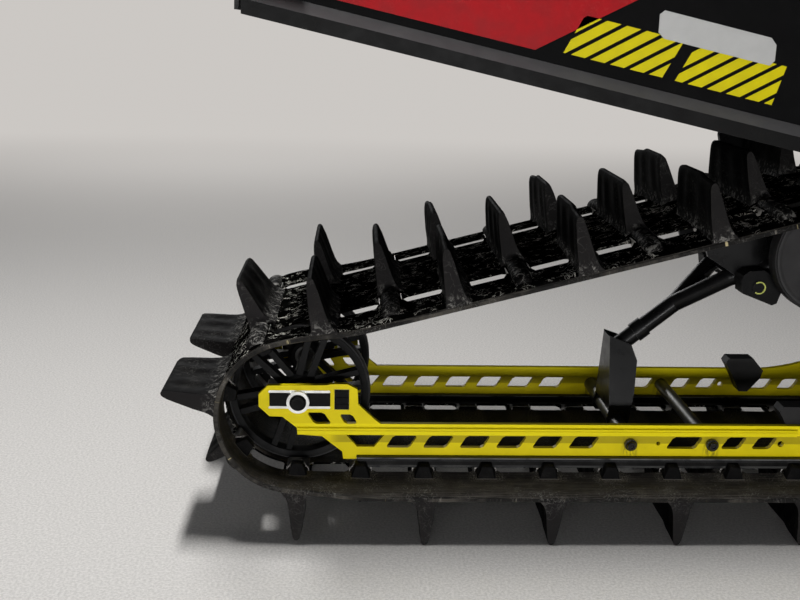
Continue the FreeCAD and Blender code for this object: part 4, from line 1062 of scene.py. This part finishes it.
class MODULE_OT_rail_trim(bpy.types.Operator):
    """Strips along the axle slots, axle ends, screw nuts, shaft bolts, slider beads and block rings"""
    bl_idname = "module.rail_trim"
    bl_label = "Rail Trim"

    def execute(self, context):
        trim = context.scene.module_trim
        for name, sign in SIDES.items():
            self.axle_end(name, sign, trim)
            self.shaft_bolts(name, sign, trim)
            self.slider_lip(name, sign)
            self.block_ring(name, sign, trim)
        return {"FINISHED"}

    def block_ring(self, name, sign, trim):
        """Open spring ring round the pin on the link block's outer face."""
        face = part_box("link_block_left")[1].y
        back, down, outer, inner = 0.0885, 0.0520, 0.0092, 0.0074
        x, z = IDLER_X - back, IDLER_Z - down
        turns = [math.radians(-128 + 256 * i / 28) for i in range(29)]
        points = [(x + outer * math.cos(a), z + outer * math.sin(a)) for a in turns]
        points += [(x + inner * math.cos(a), z + inner * math.sin(a)) for a in reversed(turns)]
        ring = prism(points, face - 0.0004, face + 2 * trim.sheet)
        put_parts("block_ring_" + name, [ring], mirror(sign), "ring_green", smooth=20.0)

    def axle_end(self, name, sign, trim):
        """Strips above and below the slot, a black sheet across the slot as painted shade, the hollow end of
        the axle and the ribbed screw nut.
        """
        strips = []
        for z0, z1 in ((0.0125, 0.0162), (-0.0108, -0.0072)):
            corners = [(-0.0415, z0 + 0.001), (-0.0400, z0), (0.0440, z0), (0.0452, z0 + 0.001),
                       (0.0447, z1 - 0.001), (0.0435, z1), (-0.0395, z1), (-0.0410, z1 - 0.001)]
            strips.append(prism(by_axle(corners), RAIL_FACE - trim.sheet, RAIL_FACE + trim.sheet))
        put_parts("slot_strips_" + name, strips, mirror(sign), "bare_aluminium")
        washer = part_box("axle_adjuster_left")[1].y
        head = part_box("rear_axle")[1].y
        cup = turned([(0.0, -0.0005), (0.0117, -0.0005), (0.0117, 0.0010), (0.0106, 0.0012), (0.0098, 0.0004),
                      (0.0, 0.0003)], 40)
        end = turned([(0.0, 0.0), (0.0092, 0.0), (0.0092, 0.0003), (0.0084, 0.0007), (0.0066, 0.0004),
                      (0.0, 0.0002)], 40)
        parts = [moved(cup, Matrix.Translation((AXLE_X, washer, AXLE_Z))),
                 moved(end, Matrix.Translation((AXLE_X, head, AXLE_Z)))]
        # black sheet across the open axle slot: painted shade
        slot_shade_sheet = prism(by_axle(oblong(-0.0398, 0.0448, -0.0070, 0.0121)), RAIL_FACE - 0.001,
                           RAIL_FACE + 0.0004)
        ribs = [prism(by_axle(oblong(0.0512, 0.0707, z, z + 0.0078)), RAIL_FACE - 0.003,
                      RAIL_FACE + 0.0012, 0.0009) for z in (-0.0112, -0.0016, 0.0080)]
        back = prism(by_axle(oblong(0.0509, 0.0710, -0.0116, 0.0176)), RAIL_FACE - 0.002,
                     RAIL_FACE + 0.0002)
        parts += [slot_shade_sheet, back] + ribs
        put_parts("axle_end_" + name, parts, mirror(sign), "plain_black")

    def shaft_bolts(self, name, sign, trim):
        """Black socket heads on collars over the ends of the cross shafts."""
        parts = []
        for node in SHAFTS:
            at = Matrix.Translation((middle(node).x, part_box(node)[1].y - 0.0005, middle(node).z))
            parts += [moved(part, at) for part in bolt_part(trim.bolt_r * 0.82, 0.0065)]
        put_parts("shaft_bolts_" + name, parts, mirror(sign), "dark_bolt")

    def slider_lip(self, name, sign):
        """Worn bead that shows under the web all along the slider."""
        low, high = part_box("slider_left")
        z = RAIL_LOW - 0.0045
        bead = prism(oblong(low.x + 0.004, AXLE_X + 0.90, z, z + 0.0030), high.y - 0.003, high.y + 0.0008,
                     0.0007)
        put_parts("slider_lip_" + name, [bead], mirror(sign), "slider_plastic")


# ---- wheels ------------------------------------------------------------------------------------
def both_sides(profile):
    """Profile of (radius, y) that is alike on both sides of y 0, from its half at positive y."""
    return [(r, -y) for r, y in profile] + profile[::-1]


class MODULE_OT_wheels(bpy.types.Operator):
    """Rear and upper wheels with rubber bands, spokes and hubs"""
    bl_idname = "module.wheels"
    bl_label = "Wheels"

    def execute(self, context):
        for name, sign in SIDES.items():
            self.rear_wheel(name)
            self.upper_wheel(name, sign)
        return {"FINISHED"}

    def rear_wheel(self, name):
        node = "rear_wheel_" + name
        low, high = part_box(node)
        y, r, half = (low.y + high.y) / 2, REAR_WHEEL_R, (high.y - low.y) / 2
        spoke = []
        for lean in (-1, 1):
            (x0, z0, w0), (x1, z1, w1) = ((reach * math.cos(angle), reach * math.sin(angle), wide)
                                          for reach, angle, wide in ((0.025, lean * 0.20, 0.0050),
                                                                     (r - 0.010, lean * 0.40, 0.0042)))
            way = Vector((x1 - x0, z1 - z0)).normalized()
            across = Vector((-way.y, way.x))
            corners = [(x0 - across.x * w0, z0 - across.y * w0), (x1 - across.x * w1, z1 - across.y * w1),
                       (x1 + across.x * w1, z1 + across.y * w1), (x0 + across.x * w0, z0 + across.y * w0)]
            spoke.append(prism(corners, -half * 0.72, half * 0.72, 0.0012))
        centre = (AXLE_X, y, AXLE_Z)
        repeated("ring", "rear_wheel_spokes_" + name, joined_mesh("spoke", spoke), "wheel_plastic",
                 "wheel_plastic", count=6, centre=centre, start=0.30)
        rim = turned(both_sides([(r - 0.012, half * 0.9), (r - 0.006, half), (r - 0.003, half),
                                 (r - 0.003, half * 0.85)]) + [(r - 0.014, 0.0)], 64, closed=True)
        hub = turned(both_sides([(BORE, half), (0.022, half), (0.0245, half * 0.8), (0.028, half * 0.5)]),
                     48, closed=True)
        at = Matrix.Translation(centre)
        put_parts("rear_wheel_rim_" + name, [rim, hub], at, "wheel_plastic", (node,))
        band = turned(both_sides([(r - 0.0035, half * 0.82), (r - 0.001, half * 0.86), (r, half * 0.74)]),
                      96, closed=True)
        put_parts("rear_wheel_band_" + name, [band], at, "black_rubber")
        bearing = turned(both_sides([(BORE, half + 0.0004), (0.0160, half + 0.0004)]), 40, closed=True)
        put_parts("rear_wheel_bearing_" + name, [bearing], at, "bare_steel")

    def upper_wheel(self, name, sign):
        node = "idler_wheel_" + name
        low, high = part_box(node)
        y, r, half = (low.y + high.y) / 2, IDLER_R, (high.y - low.y) / 2
        at = Matrix.Translation((IDLER_X, y, IDLER_Z)) @ mirror(sign)
        disc = turned([(BORE, -half), (0.020, -half), (0.024, -0.006), (r - 0.012, -0.004),
                       (r - 0.010, -half), (r - 0.004, -half), (r - 0.004, half), (r - 0.0065, half),
                       (r - 0.0085, half - 0.0015), (r - 0.012, half - 0.003), (r - 0.030, half - 0.0065),
                       (0.040, half - 0.010), (0.030, half - 0.010), (0.026, half - 0.004), (0.022, half),
                       (BORE, half)], 72, closed=True)
        put_parts("upper_wheel_disc_" + name, [disc], at, "idler_plastic", (node,))
        band = turned(both_sides([(r - 0.0045, half * 0.9), (r - 0.001, half * 0.96), (r, half * 0.8)]),
                      96, closed=True)
        put_parts("upper_wheel_band_" + name, [band], at, "black_rubber")
        bearing = turned([(BORE, -half - 0.0004), (0.0165, -half - 0.0004), (0.0165, half + 0.0006),
                          (BORE, half + 0.0006)], 40, closed=True)
        put_parts("upper_wheel_bearing_" + name, [bearing], at, "bare_steel")


# ---- tunnel ------------------------------------------------------------------------------------
SIDE_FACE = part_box("tunnel_side_left")[1].y
EDGE_SLOPE, EDGE_HEIGHT = -0.22, 0.032
EDGE_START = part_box("edge_rail_left")[0].x
EDGE_AT_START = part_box("edge_rail_left")[1].z - EDGE_HEIGHT
# outlines on the tunnel's sides, mm: distance ahead of the rear axle, and height over the tunnel's edge
RED_PANEL = ((-30, 43), (293, 43), (415, 131), (-30, 131))
LABEL = ((443, 100), (450, 94), (584, 94), (590, 101), (590, 120), (583, 127), (449, 127), (443, 121))
HATCHED = (((328, 48), (452, 48), (476, 98), (352, 98)), ((468, 48), (592, 48), (606, 98), (492, 98)))
# slanting bars of the hatch, mm: first foot, height of the foot, step, width, lean and rise
HATCH_START, HATCH_FOOT, HATCH_STEP, HATCH_WIDTH, HATCH_LEAN, HATCH_RISE = 300, 20, 24.5, 17.5, 200, 150


def edge_z(x):
    """Height of the tunnel's lower edge at x."""
    return EDGE_AT_START + EDGE_SLOPE * (x - EDGE_START)


def on_side(points):
    """(distance from the rear axle, height above the edge) in mm to x and z."""
    return [(AXLE_X + x * MM, edge_z(AXLE_X + x * MM) + up * MM) for x, up in points]


def clipped(shape, border):
    """Part of a convex shape inside a convex border, both anticlockwise."""
    for (ax, ay), (bx, by) in zip(border, border[1:] + border[:1]):
        kept = []
        for (px, py), (qx, qy) in zip(shape, shape[1:] + shape[:1]):
            p = (bx - ax) * (py - ay) - (by - ay) * (px - ax)
            q = (bx - ax) * (qy - ay) - (by - ay) * (qx - ax)
            if p >= 0:
                kept.append((px, py))
            if p * q < 0:
                share = p / (p - q)
                kept.append((px + (qx - px) * share, py + (qy - py) * share))
        shape = kept
        if not shape:
            break
    return shape


class MODULE_OT_stickers(bpy.types.Operator):
    """Plain red panel, hatched yellow band and blank white label on both sides of the tunnel"""
    bl_idname = "module.stickers"
    bl_label = "Stickers"

    def execute(self, context):
        trim = context.scene.module_trim
        top = HATCH_FOOT + HATCH_RISE
        bars = []
        for border in HATCHED:
            for k in range(-14, 60):
                start = HATCH_START + HATCH_STEP * k
                end = start + HATCH_WIDTH
                shape = clipped([(start, HATCH_FOOT), (end, HATCH_FOOT), (end + HATCH_LEAN, top),
                                 (start + HATCH_LEAN, top)], border)
                if len(shape) > 2:
                    bars.append(on_side(shape))
        red, label = [on_side(RED_PANEL)], [on_side(LABEL)]
        for name, sign in SIDES.items():
            for kind, shapes, layer in (("red", red, 1), ("yellow", bars, 1), ("white", label, 2)):
                parts = [prism(shape, SIDE_FACE, SIDE_FACE + trim.sheet * layer) for shape in shapes]
                put_parts(f"sticker_{kind}_{name}", parts, mirror(sign), "sticker_" + kind,
                          smooth=30.0)
        return {"FINISHED"}


# ---- finishes of the solids --------------------------------------------------------------------
class MODULE_OT_finishes(bpy.types.Operator):
    """Materials on the carried-over solids"""
    bl_idname = "module.finishes"
    bl_label = "Finishes"

    def execute(self, context):
        slots = {part["node"]: part["material_slot"] for part in frame["record"]["subparts"]}
        for name, node in frame["nodes"].items():
            node.data.materials.clear()
            node.data.materials.append(MATERIALS[slots[name]])
        return {"FINISHED"}


# ---- stage -------------------------------------------------------------------------------------
CAMERA_AT = Vector((AXLE_X + 0.07677, -1.53470, 0.69933))
CAMERA_PITCH, CAMERA_YAW, CAMERA_ROLL = 0.25274, 0.04470, 0.02184
CAMERA_LENS = 47.617


def floor_material():
    """Pale short-pile floor that turns into an even pale backdrop far behind the module."""
    material = bpy.data.materials.new("floor")
    material.use_nodes = True
    tree = material.node_tree
    shader = tree.nodes["Principled BSDF"]
    place = object_place(tree)
    tuft = noise(tree, place, 260.0, 5.0, 0.7)
    shade = mix(tree, ramp(tree, tuft, 0.35, 0.65), (0.50, 0.485, 0.465), (0.68, 0.66, 0.635))
    shade = mix(tree, times(tree, noise(tree, place, 3.0, 3.0), 0.25), shade, (0.56, 0.54, 0.52))
    far = ramp(tree, parts_of(tree, place)["Y"], 1.2, 5.5)
    tree.links.new(mix(tree, far, shade, (0.0, 0.0, 0.0)), shader.inputs["Base Color"])
    shader.inputs["Roughness"].default_value = 0.9
    shader.inputs["Specular IOR Level"].default_value = 0.2
    seen = add(tree, "ShaderNodeLightPath").outputs["Is Camera Ray"]
    glow = mix(tree, times(tree, far, seen), (0.0, 0.0, 0.0), (0.60, 0.575, 0.55))
    tree.links.new(glow, shader.inputs["Emission Color"])
    shader.inputs["Emission Strength"].default_value = 1.0
    relief = add(tree, "ShaderNodeBump", {"Strength": 0.5, "Distance": 0.002, "Height": tuft})
    tree.links.new(relief.outputs[0], shader.inputs["Normal"])
    return material


def area_light(name, place, target, size, power):
    data = bpy.data.lights.new(name, "AREA")
    data.shape, data.size, data.size_y, data.energy = "RECTANGLE", size[0], size[1], power
    made = bpy.data.objects.new(name, data)
    made.location = place
    made.rotation_mode = "QUATERNION"
    made.rotation_quaternion = (Vector(target) - Vector(place)).to_track_quat("-Z", "Y")
    bpy.context.scene.collection.objects.link(made)


class MODULE_OT_stage(bpy.types.Operator):
    """Pale floor, soft studio light and the camera"""
    bl_idname = "module.stage"
    bl_label = "Stage"

    def execute(self, context):
        scene = context.scene
        scene.view_settings.view_transform = "Standard"
        wide, near, far, bend = 14.0, -6.0, 7.0, 1.5
        rows = [(near, 0.0)] + [(far + bend * math.sin(a), bend - bend * math.cos(a))
                                for a in (math.pi / 2 * i / 12 for i in range(13))] + [(far + bend, 6.0)]
        verts = [(x, y, z) for y, z in rows for x in (-wide, wide)]
        faces = [(2 * i, 2 * i + 1, 2 * i + 3, 2 * i + 2) for i in range(len(rows) - 1)]
        floor = as_object("floor", mesh_of("floor", verts, faces))
        floor.data.materials.append(floor_material())
        area_light("overhead", (-1.25, -0.25, 2.9), (-1.18, -0.245, 0.0), (0.9, 0.20), 85.0)
        area_light("front", (-0.9, -3.7, 0.21), (-0.6, 0.0, 0.21), (3.0, 0.30), 67.0)
        area_light("back", (-1.6, 4.6, 1.7), (-0.9, 0.0, 0.1), (1.6, 0.5), 30.0)
        world = bpy.data.worlds.new("studio")
        world.use_nodes = True
        ground = world.node_tree.nodes["Background"]
        ground.inputs["Color"].default_value = (0.86, 0.90, 1.0, 1.0)
        ground.inputs["Strength"].default_value = 0.06
        scene.world = world
        forward = Vector((math.sin(CAMERA_YAW) * math.cos(CAMERA_PITCH),
                          math.cos(CAMERA_YAW) * math.cos(CAMERA_PITCH), -math.sin(CAMERA_PITCH)))
        level = forward.cross(Vector((0, 0, 1))).normalized()
        up = level.cross(forward)
        right = level * math.cos(CAMERA_ROLL) + up * math.sin(CAMERA_ROLL)
        top = up * math.cos(CAMERA_ROLL) - level * math.sin(CAMERA_ROLL)
        data = bpy.data.cameras.new("camera")
        data.lens, data.sensor_width, data.clip_end = CAMERA_LENS, 36.0, 100.0
        camera = bpy.data.objects.new("camera", data)
        turn = Matrix((right, top, -forward)).transposed().to_4x4()
        camera.matrix_world = Matrix.Translation(CAMERA_AT) @ turn
        scene.collection.objects.link(camera)
        scene.camera = camera
        return {"FINISHED"}


# ---- panel -------------------------------------------------------------------------------------
OPERATORS = (MODULE_OT_finishes, MODULE_OT_belt, MODULE_OT_lugs, MODULE_OT_drive_lugs, MODULE_OT_rail_trim,
             MODULE_OT_wheels, MODULE_OT_stickers, MODULE_OT_stage)


class MODULE_PT_panel(bpy.types.Panel):
    """Lists the module's sizes, colours and pieces"""
    bl_idname = "MODULE_PT_panel"
    bl_label = "Rear Module"
    bl_space_type = "VIEW_3D"
    bl_region_type = "UI"
    bl_category = "Rear Module"

    def draw(self, context):
        for group in (context.scene.module_track, context.scene.module_trim, context.scene.module_colours):
            for key in group.__annotations__:
                self.layout.prop(group, key)
        for operator in OPERATORS:
            self.layout.operator(operator.bl_idname)


GROUP_CLASSES = {"module_track": TrackSizes, "module_trim": TrimSizes, "module_colours": Colours}


def register():
    for made in (*GROUP_CLASSES.values(), *OPERATORS, MODULE_PT_panel):
        bpy.utils.register_class(made)
    for name, group in GROUP_CLASSES.items():
        setattr(bpy.types.Scene, name, PointerProperty(type=group))


def unregister():
    for name in GROUP_CLASSES:
        delattr(bpy.types.Scene, name)
    for made in reversed((*GROUP_CLASSES.values(), *OPERATORS, MODULE_PT_panel)):
        bpy.utils.unregister_class(made)


def main():
    register()
    make_materials(bpy.context.scene.module_colours)
    for operator in OPERATORS:
        family, name = operator.bl_idname.split(".")
        getattr(getattr(bpy.ops, family), name)()


if __name__ == "__main__":
    main()
